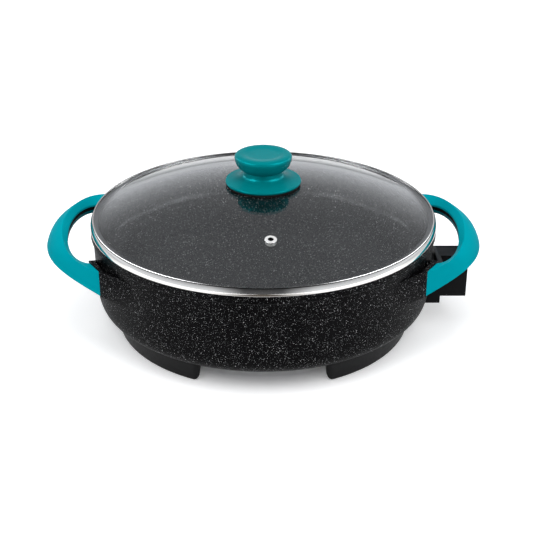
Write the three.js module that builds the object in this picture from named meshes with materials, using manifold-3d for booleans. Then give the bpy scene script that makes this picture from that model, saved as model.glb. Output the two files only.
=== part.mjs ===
// Electric skillet: a cast pan on two skids, a plug-in socket and a lift-off glass lid.
// Millimetres, +Z up. The origin is on the table under the centre of the pan, +X is the socket side.
import * as THREE from 'three';
import { mergeVertices } from 'three/addons/utils/BufferGeometryUtils.js';
import Module from 'manifold-3d';

const wasm = await Module();
wasm.setup();

// Shared values
const clearance = 0.3;
const overrun = 12;
const weldDistance = 0.0001;
const roundSteps = 48;
const smallRoundSteps = 24;
const screwSteps = 12;

// Pan: the outside
const rimRadius = 180;
const rimHeight = 113;
const rimBeadHeight = 7;
const rimStep = 2.2;
const rimEdge = 1.2;
const bellyInset = 3.3;
const bellyRadius = rimRadius - bellyInset;
const skirtInset = 8.7;
const skirtRadius = bellyRadius - skirtInset;
const skirtHeight = 26;
const skirtTallness = 24;
const bellyHeight = skirtHeight + skirtTallness;
const skirtEdge = 1.2;
const skirtCurveShare = 0.87;
const skirtRiseShare = 0.33;
const wallThickness = 4;

// Pan: the cooking bowl and the floor
const rimWidth = 7;
const mouthRadius = rimRadius - rimWidth;
const bowlTaper = 1.6;
const bowlRadius = mouthRadius - bowlTaper;
const floorHeight = 65.5;
const bowlFilletShare = 0.505;
const bowlFillet = (rimHeight - floorHeight) * bowlFilletShare;
const floorThickness = 5;
const floorUnderside = floorHeight - floorThickness;
const cavityFillet = 6;

// Heating element and the ribbed ring that holds it
const elementRingInset = 71.7;
const elementRingRadius = bellyRadius - elementRingInset;
const elementRadius = 3.6;
const elementRingWidth = 15;
const elementRingDepth = 6;
const elementBend = 14;

// Socket: pins, bushes, probe sleeve and the plate that carries them
const socketDrop = 10.5;
const socketHeight = floorUnderside - socketDrop;
const socketBossDepth = 13.7;
const socketBossFace = bellyRadius - socketBossDepth;
const socketBossWidth = 60;
const socketBossDrop = 12;
const elementEndInset = 12;
const elementEnd = socketBossFace - elementEndInset;
const pinSpacing = 22;
const pinRadius = 2.5;
const pinReach = 17;
const bushRadius = 4;
const bushFlangeRadius = 5.2;
const bushLength = 9;
const bushFlangeThickness = 2;
const sleeveRadius = 5.4;
const sleeveBore = 4.2;
const sleeveInset = 41;
const sleeveStart = socketBossFace - sleeveInset;
const sleeveReach = 11;
const saddleLength = 26;
const saddleWidth = 14;
const plateThickness = 1.5;
const plateWidth = 54;
const plateTallness = 18;
const windowWidth = 33;
const windowTallness = 13;

// Socket shroud: a mounting block against the pan and a hood that is open outward
const blockDepth = 10.3;
const blockEnd = bellyRadius + blockDepth;
const hoodDepth = 26.8;
const hoodEnd = blockEnd + hoodDepth;
const hoodWidth = 56;
const hoodDrop = 16.5;
const hoodBottom = socketHeight - hoodDrop;
const hoodRise = 18.5;
const hoodTop = socketHeight + hoodRise;
const hoodWall = 2.6;
const hoodCorner = 3.5;
const blockDrop = 24.5;
const blockBottom = socketHeight - blockDrop;
const blockRise = 10;
const blockTop = socketHeight + blockRise;
const blockCorner = 2.5;
const panelDepth = 1;
const panelBorder = 2.8;
const ventInset = 3;
const ventLength = 11;
const ventFront = -14;
const ventRear = 3;
const shroudScrewInset = 7.5;
const shroudScrewSpacing = hoodWidth - 2 * shroudScrewInset;
const shroudPostRadius = 4.2;
const shroudScrewLength = 25.5;

// Base plate and skids
const basePlateRadius = skirtRadius - wallThickness - 2 * clearance;
const basePlateThickness = 1.2;
const basePlateRise = 2.5;
const basePlateHeight = skirtHeight + basePlateRise;
const skidInset = 12;
const skidRadius = skirtRadius - skidInset;
const skidWidth = 27;
const skidHalfAngle = 64.3;
const skidWall = 3;
const skidDraft = 1.2;
const skidEdge = 1.6;
const skidEndRadius = 7;
const skidToeRadius = 8;
const skidStations = 17;
const postCircle = skidRadius - skidWidth / 2;
const postAngle = 42;
const postRadius = 6;
const skidHeadDepth = 7;
const skidScrewLength = 34;
const slotCount = 8;
const slotCircle = 62;
const slotLength = 30;
const slotWidth = 4;

// Lugs that carry the handles, given for the front left one
const lugOuterReach = 11;
const lugOuterAngle = 210.94;
const lugInnerReach = 11.93;
const lugInnerAngle = 202.24;
const lugBodyAngle = 203.4;
const lugTipAngle = 222.4;
const lugBlendAngle = 228;
const lugBlendReach = 28;
const lugBlendRise = 0.5;
const lugDrop = 15.5;
const lugTop = rimHeight - lugDrop;
const lugTallness = 28;
const lugBottom = lugTop - lugTallness;
const lugWall = 2.4;
const lugEndWall = 5;
const lugFloor = 5;
const lugRib = 2.4;
const lugRibShares = [0.4, 0.68];

// Handles: three rails for the left one. Each starts at a share of the lug's end face and runs
// to the middle of the loop. Outs are measured from the lug's outer end, heights from its top,
// and side shares are of the outer end's distance from the middle.
const outerRail = {
	endShare: 0,
	endHeight: -27.2,
	leaveOut: 37.5,
	leaveSideShare: 0.922,
	leaveHeight: -6.3,
	middleOut: 65.7,
	middleSideShare: 0.604,
	middleHeight: -5.7,
};
const ridgeRail = {
	endShare: 0,
	endHeight: 0.3,
	leaveOut: 44,
	leaveSideShare: 0.981,
	leaveHeight: 11.5,
	middleOut: 48.3,
	middleSideShare: 0.161,
	middleHeight: 14.5,
};
const innerRail = {
	endShare: 0.904,
	endHeight: -1.9,
	leaveOut: 38.5,
	leaveSideShare: 0.803,
	leaveHeight: 4,
	middleOut: 43.8,
	middleSideShare: 0.283,
	middleHeight: 11.5,
};
const gripShoulderShare = 0.16;
const gripBulgeShare = 0.58;
const gripWall = 3;
const gripLip = 2.2;
const gripSideHeight = 9.5;
const insertRecess = 0.8;
const gripSteps = 12;
const handleScrewDrop = 14.5;
const handleScrewHeight = lugTop - handleScrewDrop;
const handleScrewLength = 14;
const handleScrewShare = 0.542;

// Screws
const screwRadius = 2;
const screwHeadRadius = 4;
const screwHeadHeight = 2.4;
const screwDriveRadius = 1.8;
const screwDriveDepth = 1.4;
const screwHoleRadius = 2.4;

// Lid: heights are above the rim of the pan
const lidTurn = 3.7;
const bandOverhang = 0.3;
const bandRadius = rimRadius + bandOverhang;
const bandEdge = 0.6;
const bandRoll = 1.4;
const bandHem = 2.4;
const bandLip = 0.9;
const bandLipWidth = 4.3;
const spigotGap = 0.7;
const spigotRadius = mouthRadius - spigotGap;
const spigotThickness = 1;
const spigotDepth = 5;
const glassThickness = 4;
const glassFlangeWidth = 9.8;
const glassFlangeRadius = bandRadius - glassFlangeWidth;
const domeRise = 33.5;
const knobHole = 4.2;
const eyeletInset = 57;
const ventCircle = glassFlangeRadius - eyeletInset;
const ventHole = 4;

// Vent eyelet
const eyeletRadius = 6.4;
const eyeletUnderRadius = 5.4;
const eyeletThickness = 0.9;
const eyeletBore = 2.5;
const eyeletBarrel = 3.7;

// Knob, its gasket and its fixing: heights are above the underside of the knob
const knobLift = 1.9;
const gasketRadius = 38.7;
const gasketInner = 30;
const knobBaseRadius = 39.4;
const knobBaseEdge = 1.6;
const knobBaseCrest = 2.9;
const knobNeckRadius = 20.3;
const knobNeckHeight = 12.6;
const knobSweepRadius = 21.5;
const knobSweepHeight = 4.6;
const capRadius = 29.6;
const capHeight = 27;
const capUnderRadius = 28.5;
const capUnderHeight = 15.8;
const capCrownRadius = 24.5;
const capCrownHeight = 31;
const capShoulderHeight = 30.7;
const capDishDepth = 0.8;
const knobShell = 2.4;
const knobBossRadius = 9;
const knobBossHeight = 1.2;
const knobRecessHeight = 6;
const insertRadius = 5;
const insertLength = 13;
const knobScrewLength = 17;
const washerRadius = 8;
const washerThickness = 1.2;

const tau = Math.PI * 2;
const radians = THREE.MathUtils.degToRad;

// Closed solid from any closed geometry, with its faces turned outward
function solid(geometry) {
	const bare = new THREE.BufferGeometry();
	bare.setAttribute('position', geometry.getAttribute('position'));
	bare.setIndex(geometry.getIndex());
	const welded = mergeVertices(bare, weldDistance);
	const place = welded.getAttribute('position');
	const index = welded.getIndex();
	const corners = [];
	let volume = 0;
	for (let i = 0; i < index.count; i += 3) {
		const [a, b, c] = [index.getX(i), index.getX(i + 1), index.getX(i + 2)];
		if (a === b || b === c || c === a) continue;
		const [p, q, r] = [a, b, c].map((k) => new THREE.Vector3().fromBufferAttribute(place, k));
		volume += p.dot(q.cross(r));
		corners.push(a, b, c);
	}
	if (volume < 0) corners.reverse();
	return new wasm.Manifold(new wasm.Mesh({
		numProp: 3,
		vertProperties: new Float32Array(place.array),
		triVerts: new Uint32Array(corners),
	}));
}

// Geometry of a finished solid
function geometryOf(shape) {
	const mesh = shape.getMesh();
	const geometry = new THREE.BufferGeometry();
	geometry.setAttribute('position', new THREE.BufferAttribute(mesh.vertProperties, mesh.numProp));
	geometry.setIndex(new THREE.BufferAttribute(mesh.triVerts, 1));
	const flat = geometry.toNonIndexed();
	flat.computeVertexNormals();
	return flat;
}

// Points of an arc in a profile, angles in degrees
function arc(centreX, centreY, radius, from, to, steps) {
	const points = [];
	for (let i = 0; i <= steps; i++) {
		const angle = radians(from + (to - from) * i / steps);
		points.push(new THREE.Vector2(centreX + radius * Math.cos(angle), centreY + radius * Math.sin(angle)));
	}
	return points;
}

// Points of a quadratic curve in a profile
function bend(start, control, end, steps) {
	return new THREE.QuadraticBezierCurve(start, control, end).getPoints(steps);
}

function point(radius, height) {
	return new THREE.Vector2(radius, height);
}

// Turned solid about +Z from points of radius and height
function turned(points, steps = roundSteps) {
	return solid(new THREE.LatheGeometry(points, steps).rotateX(Math.PI / 2));
}

// Straight solid from an outline in X and Y, between two heights
function raised(outline, low, high) {
	const shape = outline instanceof THREE.Shape ? outline : new THREE.Shape(outline);
	const geometry = new THREE.ExtrudeGeometry(shape, { depth: high - low, bevelEnabled: false });
	return solid(geometry.translate(0, 0, low));
}

// Box between two corners
function block(x0, x1, y0, y1, z0, z1) {
	const geometry = new THREE.BoxGeometry(x1 - x0, y1 - y0, z1 - z0);
	return solid(geometry.translate((x0 + x1) / 2, (y0 + y1) / 2, (z0 + z1) / 2));
}

// Rod along +Z between two heights, moved to a place in X and Y
function rod(radius, low, high, x = 0, y = 0, steps = screwSteps) {
	const geometry = new THREE.CylinderGeometry(radius, radius, high - low, steps);
	return solid(geometry.rotateX(Math.PI / 2).translate(x, y, (low + high) / 2));
}

// Rod along +X between two places
function rodX(radius, start, end, y, z, steps = screwSteps) {
	const geometry = new THREE.CylinderGeometry(radius, radius, end - start, steps);
	return solid(geometry.rotateZ(Math.PI / 2).translate((start + end) / 2, y, z));
}

// Closed skin over a row of rings that have equally many points, with flat ends
function lofted(rings) {
	const places = rings.flat().flatMap((p) => [p.x, p.y, p.z]);
	const count = rings[0].length;
	const faces = [];
	for (let r = 0; r + 1 < rings.length; r++) {
		for (let k = 0; k < count; k++) {
			const a = r * count + k;
			const b = r * count + (k + 1) % count;
			faces.push(a, b, b + count, a, b + count, a + count);
		}
	}
	for (const [ring, first, flip] of [[rings[0], 0, true], [rings.at(-1), (rings.length - 1) * count, false]]) {
		for (const [a, b, c] of endFaces(ring)) {
			faces.push(first + a, first + (flip ? c : b), first + (flip ? b : c));
		}
	}
	const geometry = new THREE.BufferGeometry();
	geometry.setAttribute('position', new THREE.Float32BufferAttribute(places, 3));
	geometry.setIndex(faces);
	return solid(geometry);
}

// Triangles that fill a flat ring of points
function endFaces(ring) {
	const along = ring.reduce((far, p) => (p.distanceTo(ring[0]) > far.distanceTo(ring[0]) ? p : far), ring[0]);
	const across = along.clone().sub(ring[0]).normalize();
	const normal = new THREE.Vector3();
	for (let k = 1; k + 1 < ring.length; k++) {
		const turn = ring[k].clone().sub(ring[0]).cross(ring[k + 1].clone().sub(ring[0]));
		normal.add(turn);
	}
	const up = normal.normalize().clone().cross(across);
	const flat = ring.map((p) => point(p.clone().sub(ring[0]).dot(across), p.clone().sub(ring[0]).dot(up)));
	return THREE.ShapeUtils.triangulateShape(flat, []);
}

// Outline moved inward, edge by edge, by one distance for each edge
function inset(points, distances) {
	const lines = points.map((p, i) => {
		const next = points[(i + 1) % points.length];
		const along = next.clone().sub(p).normalize();
		const inward = new THREE.Vector2(-along.y, along.x).multiplyScalar(distances[i]);
		return { from: p.clone().add(inward), along };
	});
	return lines.map((line, i) => {
		const before = lines.at(i - 1);
		const gap = line.from.clone().sub(before.from);
		const share = gap.cross(line.along) / before.along.cross(line.along);
		return before.from.clone().addScaledVector(before.along, share);
	});
}

function onCircle(radius, degrees) {
	return new THREE.Vector2(Math.cos(radians(degrees)), Math.sin(radians(degrees))).multiplyScalar(radius);
}

const wallTopRadius = rimRadius - rimStep;
const postFoot = basePlateHeight + basePlateThickness + clearance;
const plateFace = socketBossFace - clearance - plateThickness;
const lugOuterEnd = onCircle(bellyRadius + lugOuterReach, lugOuterAngle);
const lugInnerEnd = onCircle(bellyRadius + lugInnerReach, lugInnerAngle);

// Outer curve of the skirt, or its inner one when it is moved in by the wall
function skirtCurve(inward) {
	const foot = point(skirtRadius - inward, skirtHeight + (inward ? 0 : skirtEdge));
	const belly = point(bellyRadius - inward, bellyHeight);
	const control = point(
		THREE.MathUtils.lerp(skirtRadius, bellyRadius, skirtCurveShare) - inward,
		THREE.MathUtils.lerp(skirtHeight, bellyHeight, skirtRiseShare),
	);
	return bend(belly, control, foot, 4);
}

function panProfile() {
	const ringBottom = floorUnderside - elementRingDepth;
	const grooveRadius = elementRadius + 2 * clearance;
	const ringHalf = elementRingWidth / 2;
	const cavityRadius = bellyRadius - wallThickness;
	return [
		point(0, floorHeight),
		...arc(bowlRadius - bowlFillet, floorHeight + bowlFillet, bowlFillet, -90, 0, 5),
		point(mouthRadius, rimHeight - rimEdge),
		point(mouthRadius + rimEdge, rimHeight),
		point(rimRadius - rimEdge, rimHeight),
		point(rimRadius, rimHeight - rimEdge),
		point(rimRadius, rimHeight - rimBeadHeight),
		point(wallTopRadius, rimHeight - rimBeadHeight - rimStep),
		...skirtCurve(0),
		point(skirtRadius - skirtEdge, skirtHeight),
		...skirtCurve(wallThickness).reverse(),
		point(cavityRadius, floorUnderside - cavityFillet),
		point(cavityRadius - cavityFillet, floorUnderside),
		point(elementRingRadius + ringHalf, floorUnderside),
		point(elementRingRadius + ringHalf, ringBottom),
		...arc(elementRingRadius, ringBottom, grooveRadius, 0, 180, 6),
		point(elementRingRadius - ringHalf, ringBottom),
		point(elementRingRadius - ringHalf, floorUnderside),
		point(0, floorUnderside),
	];
}

// Everything inside the pan's outer surface, used to fit the shroud to it
function panEnvelope(extra) {
	return turned([
		point(0, rimHeight),
		point(wallTopRadius + extra, rimHeight),
		point(wallTopRadius + extra, rimHeight - rimBeadHeight - rimStep),
		...skirtCurve(0).map((p) => point(p.x + extra, p.y)),
		point(skirtRadius + extra, skirtHeight),
		point(0, skirtHeight),
	]);
}

// Outer face of the lug: a curve that leaves the handle and runs out along the wall of the pan
function lugFace() {
	const end = onCircle(bellyRadius + lugBlendRise, lugBlendAngle);
	const back = onCircle(lugBlendReach, lugBlendAngle - 90);
	return bend(lugOuterEnd.clone(), end.clone().add(back), end, 4);
}

// Plan of the front left lug; the other three are mirrored from it
function lugOutline() {
	const inWall = bellyRadius - wallThickness / 2;
	const middleAngle = (lugBlendAngle + lugBodyAngle) / 2;
	return [
		...lugFace(),
		...[lugBlendAngle, middleAngle, lugBodyAngle].map((angle) => onCircle(inWall, angle)),
		onCircle(bellyRadius, lugBodyAngle),
		lugInnerEnd.clone(),
	];
}

function lugEndNormal() {
	const across = lugInnerEnd.clone().sub(lugOuterEnd).normalize();
	return new THREE.Vector2(-across.y, across.x);
}

// Where the screw crosses the face between a handle and its lug
function handleScrewPlace() {
	return lugOuterEnd.clone().lerp(lugInnerEnd, handleScrewShare);
}

// Rod along the handle screw's axis, from inside the lug towards the grip
function handleRod(radius, back, forward, steps = screwSteps) {
	const normal = lugEndNormal();
	const place = handleScrewPlace();
	const geometry = new THREE.CylinderGeometry(radius, radius, back + forward, steps);
	const turn = new THREE.Quaternion().setFromUnitVectors(
		new THREE.Vector3(0, 1, 0),
		new THREE.Vector3(normal.x, normal.y, 0),
	);
	geometry.applyQuaternion(turn);
	const middle = place.clone().addScaledVector(normal, (forward - back) / 2);
	return solid(geometry.translate(middle.x, middle.y, handleScrewHeight));
}

function lugSolid() {
	const outer = lugOuterEnd;
	const tip = onCircle(bellyRadius, lugTipAngle);
	const cavity = inset(
		[outer, tip, onCircle(bellyRadius - wallThickness / 2, lugBodyAngle), lugInnerEnd],
		[lugWall, 0, lugWall, lugEndWall],
	);
	let pocket = raised(cavity, lugBottom + lugFloor, lugTop + overrun);
	const along = tip.clone().sub(outer);
	const across = new THREE.Vector2(-along.y, along.x).normalize();
	const inward = lugInnerEnd.clone().sub(lugOuterEnd);
	const reach = across.multiplyScalar(Math.sign(across.dot(inward)) * inward.length());
	for (const share of lugRibShares) {
		const foot = outer.clone().addScaledVector(along, share);
		const half = along.clone().normalize().multiplyScalar(lugRib / 2);
		pocket = pocket.subtract(raised([
			foot.clone().sub(half),
			foot.clone().add(half),
			foot.clone().add(half).add(reach),
			foot.clone().sub(half).add(reach),
		], lugBottom, lugTop - lugRib));
	}
	const bore = handleRod(screwHoleRadius, overrun, overrun);
	return raised(lugOutline(), lugBottom, lugTop).subtract(pocket).subtract(bore);
}

// The four ways to mirror the front left corner: [x, y]
const corners = {
	front_left: [1, 1],
	front_right: [-1, 1],
	rear_left: [1, -1],
	rear_right: [-1, -1],
};

function mirrored(shape, [x, y]) {
	return solid(geometryOf(shape).scale(x, y, 1));
}

function postPlaces() {
	const angles = [postAngle, 180 - postAngle, 180 + postAngle, -postAngle];
	return angles.map((angle) => onCircle(postCircle, angle));
}

function pan() {
	let shape = turned(panProfile());
	const lug = lugSolid();
	for (const corner of Object.values(corners)) shape = shape.add(mirrored(lug, corner));
	const rootHeight = floorUnderside + floorThickness / 2;
	const wallMiddle = bellyRadius - wallThickness / 2;
	const socketBoss = block(
		socketBossFace, wallMiddle,
		-socketBossWidth / 2, socketBossWidth / 2,
		socketHeight - socketBossDrop, rootHeight,
	).intersect(rod(wallMiddle, skirtHeight, rimHeight, 0, 0, roundSteps));
	const saddle = block(
		sleeveStart, sleeveStart + saddleLength, -saddleWidth / 2, saddleWidth / 2, socketHeight, rootHeight,
	);
	const tailHalf = pinSpacing / 2 + 2 * elementBend;
	const ringGap = block(
		elementRingRadius - elementRingWidth, elementRingRadius + elementRingWidth,
		-tailHalf, tailHalf, skirtHeight, floorUnderside,
	);
	shape = shape.subtract(ringGap).add(socketBoss).add(saddle);
	shape = shape.subtract(rodX(
		sleeveRadius + clearance, sleeveStart - overrun, rimRadius, 0, socketHeight, smallRoundSteps,
	));
	for (const place of postPlaces()) {
		const post = rod(postRadius, postFoot, rootHeight, place.x, place.y);
		const hole = rod(screwRadius + clearance, skirtHeight, floorUnderside, place.x, place.y);
		shape = shape.add(post).subtract(hole);
	}
	shape = shape.subtract(block(
		socketBossFace - overrun, rimRadius + overrun,
		-windowWidth / 2, windowWidth / 2,
		socketHeight - windowTallness / 2, socketHeight + windowTallness / 2,
	));
	for (const side of [-1, 1]) {
		shape = shape.subtract(rodX(
			screwHoleRadius, socketBossFace - overrun, rimRadius, side * shroudScrewSpacing / 2, socketHeight,
		));
	}
	return shape;
}

// Element: a tube round the ring under the floor, with both ends led out to the socket
function heatingElement() {
	const ringLevel = floorUnderside - elementRingDepth;
	const half = pinSpacing / 2;
	const startAngle = Math.asin((half + elementBend) / elementRingRadius);
	const turns = 34;
	const ring = [];
	for (let i = 0; i <= turns; i++) {
		const place = onCircle(elementRingRadius, 0)
			.rotateAround(point(0, 0), startAngle + (tau - 2 * startAngle) * i / turns);
		ring.push(new THREE.Vector3(place.x, place.y, ringLevel));
	}
	const tail = (side) => [elementBend, 2 * elementBend, elementEnd - elementRingRadius].map(
		(reach) => new THREE.Vector3(elementRingRadius + reach, side * half, socketHeight),
	);
	const path = new THREE.CatmullRomCurve3([...tail(1).reverse(), ...ring, ...tail(-1)], false, 'centripetal');
	const sides = 8;
	const section = new THREE.Shape(arc(0, 0, elementRadius, 0, 360 * (sides - 1) / sides, sides - 1));
	return solid(new THREE.ExtrudeGeometry(section, { steps: 60, extrudePath: path, bevelEnabled: false }));
}

// Rounded rectangle in X and Y, or a hole of that shape
function roundedOutline(width, tallness, corner, low = -tallness / 2, kind = THREE.Shape) {
	const [x, y] = [width / 2, low + tallness];
	const outline = new kind();
	outline.moveTo(corner - x, low);
	outline.lineTo(x - corner, low).quadraticCurveTo(x, low, x, low + corner);
	outline.lineTo(x, y - corner).quadraticCurveTo(x, y, x - corner, y);
	outline.lineTo(corner - x, y).quadraticCurveTo(-x, y, -x, y - corner);
	outline.lineTo(-x, low + corner).quadraticCurveTo(-x, low, corner - x, low);
	return outline;
}

// Straight solid along +X from an outline of Y and Z
function runAlongX(shape, start, end) {
	const geometry = new THREE.ExtrudeGeometry(shape, { depth: end - start, bevelEnabled: false, curveSegments: 3 });
	geometry.rotateX(Math.PI / 2).rotateZ(Math.PI / 2);
	return solid(geometry.translate(start, 0, 0));
}

function socketPlate() {
	const low = socketHeight - plateTallness / 2;
	let shape = block(
		plateFace, plateFace + plateThickness, -plateWidth / 2, plateWidth / 2, low, low + plateTallness,
	);
	const cut = (radius, y) => {
		shape = shape.subtract(rodX(radius, plateFace - overrun, plateFace + overrun, y, socketHeight));
	};
	cut(sleeveRadius + clearance, 0);
	for (const side of [-1, 1]) {
		cut(bushRadius + clearance, side * pinSpacing / 2);
		cut(screwHoleRadius, side * shroudScrewSpacing / 2);
	}
	return shape;
}

// Bush along +Z: its flange seats on the inner face of the plate
function bush() {
	const bore = pinRadius + clearance;
	return turned([
		point(bore, -bushFlangeThickness),
		point(bushFlangeRadius, -bushFlangeThickness),
		point(bushFlangeRadius, 0),
		point(bushRadius, 0),
		point(bushRadius, bushLength),
		point(bore, bushLength),
		point(bore, -bushFlangeThickness),
	], screwSteps);
}

function pin() {
	const start = elementEnd + clearance;
	const end = blockEnd + pinReach;
	const tip = pinRadius / 2;
	return turned([
		point(0, start),
		point(pinRadius, start),
		point(pinRadius, end - tip),
		point(pinRadius - tip, end),
		point(0, end),
	], screwSteps);
}

// Sleeve that takes the probe of the plug-in control, closed at its inner end
function probeSleeve() {
	const end = blockEnd + sleeveReach;
	const capThickness = sleeveRadius - sleeveBore;
	return turned([
		point(0, sleeveStart),
		point(sleeveRadius, sleeveStart),
		point(sleeveRadius, end),
		point(sleeveBore, end),
		point(sleeveBore, sleeveStart + capThickness),
		point(0, sleeveStart + capThickness),
	], 16);
}

function socketShroud() {
	const inner = hoodWidth - 2 * hoodWall;
	const hoodTallness = hoodTop - hoodBottom;
	const blockTallness = blockTop - blockBottom;
	const backFace = blockEnd - hoodWall;
	const mouth = roundedOutline(
		inner, hoodTallness - 2 * hoodWall, hoodCorner - hoodWall / 2, hoodBottom + hoodWall, THREE.Path,
	);
	const ring = roundedOutline(hoodWidth, hoodTallness, hoodCorner, hoodBottom);
	ring.holes.push(mouth);
	const back = roundedOutline(hoodWidth, hoodTallness, hoodCorner, hoodBottom);
	const outside = roundedOutline(hoodWidth, blockTallness, blockCorner, blockBottom);
	const hollow = block(
		bellyRadius - overrun, backFace, -inner / 2, inner / 2, blockBottom + hoodWall, blockTop - hoodWall,
	);
	let shape = runAlongX(outside, bellyRadius - overrun, blockEnd).subtract(hollow);
	shape = shape.add(runAlongX(back, backFace, blockEnd)).add(runAlongX(ring, backFace, hoodEnd));
	for (const side of [-1, 1]) {
		const y = side * shroudScrewSpacing / 2;
		shape = shape.add(rodX(shroudPostRadius, bellyRadius - overrun, backFace + hoodWall / 2, y, socketHeight));
	}
	shape = shape.subtract(panEnvelope(clearance));
	const holes = [
		[sleeveRadius + clearance, 0],
		...[-1, 1].map((side) => [pinRadius + 2 * clearance, side * pinSpacing / 2]),
		...[-1, 1].map((side) => [screwHoleRadius, side * shroudScrewSpacing / 2]),
	];
	for (const [radius, y] of holes) {
		shape = shape.subtract(rodX(radius, bellyRadius - overrun, blockEnd + overrun, y, socketHeight));
	}
	const panelHalf = hoodWidth / 2 - panelBorder;
	const panel = block(
		blockEnd, hoodEnd - panelBorder, -panelHalf, panelHalf, hoodTop - panelDepth, hoodTop + overrun,
	);
	const ventStart = blockEnd + ventInset;
	const vent = block(
		ventStart, ventStart + ventLength, ventFront, ventRear, hoodTop - hoodWall - overrun, hoodTop,
	);
	return shape.subtract(panel).subtract(vent);
}

function basePlate() {
	const outline = new THREE.Shape(arc(0, 0, basePlateRadius, 0, 360 - 360 / roundSteps, roundSteps - 1));
	for (const place of postPlaces()) {
		outline.holes.push(new THREE.Path(arc(place.x, place.y, screwHoleRadius, 360, 36, 9)));
	}
	const half = slotLength / 2;
	for (let i = 0; i < slotCount; i++) {
		const end = slotWidth / 2;
		const slot = [...arc(slotCircle - half, 0, end, 270, 90, 3), ...arc(slotCircle + half, 0, end, 90, -90, 3)];
		const turn = tau * (i + 0.5) / slotCount;
		outline.holes.push(new THREE.Path(slot.map((p) => p.rotateAround(point(0, 0), turn))));
	}
	return raised(outline, basePlateHeight, basePlateHeight + basePlateThickness);
}

// Degrees from the middle of a skid to its end, or to that of its hollow
function skidEndAngle(inward) {
	return skidHalfAngle - THREE.MathUtils.radToDeg(inward / skidRadius);
}

// An angle stretched for one radius, so that both ends of a skid lie on planes across X
function stretched(angle, endAngle, radius) {
	const endPlace = postCircle * Math.cos(radians(endAngle));
	return angle * THREE.MathUtils.radToDeg(Math.acos(endPlace / radius)) / endAngle;
}

// Angles along a skid with the distance of each from the nearer end
function skidStationList(inward) {
	const endAngle = skidEndAngle(inward);
	const tipShares = [0, 0.12, 0.35, 0.65, 1];
	const roundAngle = THREE.MathUtils.radToDeg(skidEndRadius / skidRadius);
	const angles = tipShares.map((share) => -endAngle + roundAngle * share);
	const span = endAngle - roundAngle;
	for (let i = 1; i < skidStations; i++) angles.push(-span + 2 * span * i / skidStations);
	angles.push(...tipShares.map((share) => endAngle - roundAngle * share).reverse());
	return angles.map((angle) => ({
		angle,
		fromEnd: radians(endAngle - Math.abs(angle)) * skidRadius,
	}));
}

// How far a rounded end has drawn in at a distance from its tip
function drawnIn(radius, distance) {
	const left = Math.max(radius - distance, 0);
	return radius - Math.sqrt(radius * radius - left * left);
}

// One skid about +X, or its hollow when moved in by the wall
function skidLoft(inward, top) {
	const endAngle = skidEndAngle(inward);
	const rings = skidStationList(inward).map(({ angle, fromEnd }) => {
		const endRadius = skidEndRadius - inward;
		const half = skidWidth / 2 - inward - drawnIn(endRadius, fromEnd);
		const bottom = inward + drawnIn(skidToeRadius - inward, fromEnd);
		const edge = inward ? 0 : skidEdge;
		const section = [
			[postCircle - half, top],
			[postCircle - half, bottom],
			[postCircle + half - edge, bottom],
			[postCircle + half, bottom + edge],
			[postCircle + half + skidDraft, top],
		];
		return section.map(([radius, height]) => {
			const place = onCircle(radius, stretched(angle, endAngle, radius));
			return new THREE.Vector3(place.x, place.y, height);
		});
	});
	return lofted(rings);
}

function skid() {
	const top = basePlateHeight - clearance;
	let shape = skidLoft(0, top).subtract(skidLoft(skidWall, top + overrun));
	for (const side of [-1, 1]) {
		const place = onCircle(postCircle, side * postAngle);
		const post = rod(postRadius, 0, top, place.x, place.y);
		const hole = rod(screwHoleRadius, -overrun, top + overrun, place.x, place.y);
		const headRoom = rod(screwHeadRadius + 2 * clearance, -overrun, skidHeadDepth, place.x, place.y);
		shape = shape.add(post).subtract(hole).subtract(headRoom);
	}
	return shape;
}

// Screw along +Z: the head lies below zero, with a socket for the driver
function screw(length) {
	return turned([
		point(0, screwDriveDepth - screwHeadHeight),
		point(screwDriveRadius, screwDriveDepth - screwHeadHeight),
		point(screwDriveRadius, -screwHeadHeight),
		point(screwHeadRadius, -screwHeadHeight),
		point(screwHeadRadius, 0),
		point(screwRadius, 0),
		point(screwRadius, length),
		point(0, length),
	], 10);
}

// Point of a handle rail: share runs from -1 at the front end over 0 to 1 at the rear end
function railPoint(rail, share) {
	const end = lugOuterEnd.clone().lerp(lugInnerEnd, rail.endShare);
	const at = (out, sideShare, height) => new THREE.Vector3(
		lugOuterEnd.x - out, lugOuterEnd.y * sideShare, lugTop + height);
	const curve = new THREE.CubicBezierCurve3(
		new THREE.Vector3(end.x, end.y, lugTop + rail.endHeight),
		at(rail.leaveOut, rail.leaveSideShare, rail.leaveHeight),
		at(rail.middleOut, rail.middleSideShare, rail.middleHeight),
		at(rail.middleOut, 0, rail.middleHeight),
	);
	const place = curve.getPoint(1 - Math.abs(share));
	return share > 0 ? place.setY(-place.y) : place;
}

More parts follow.
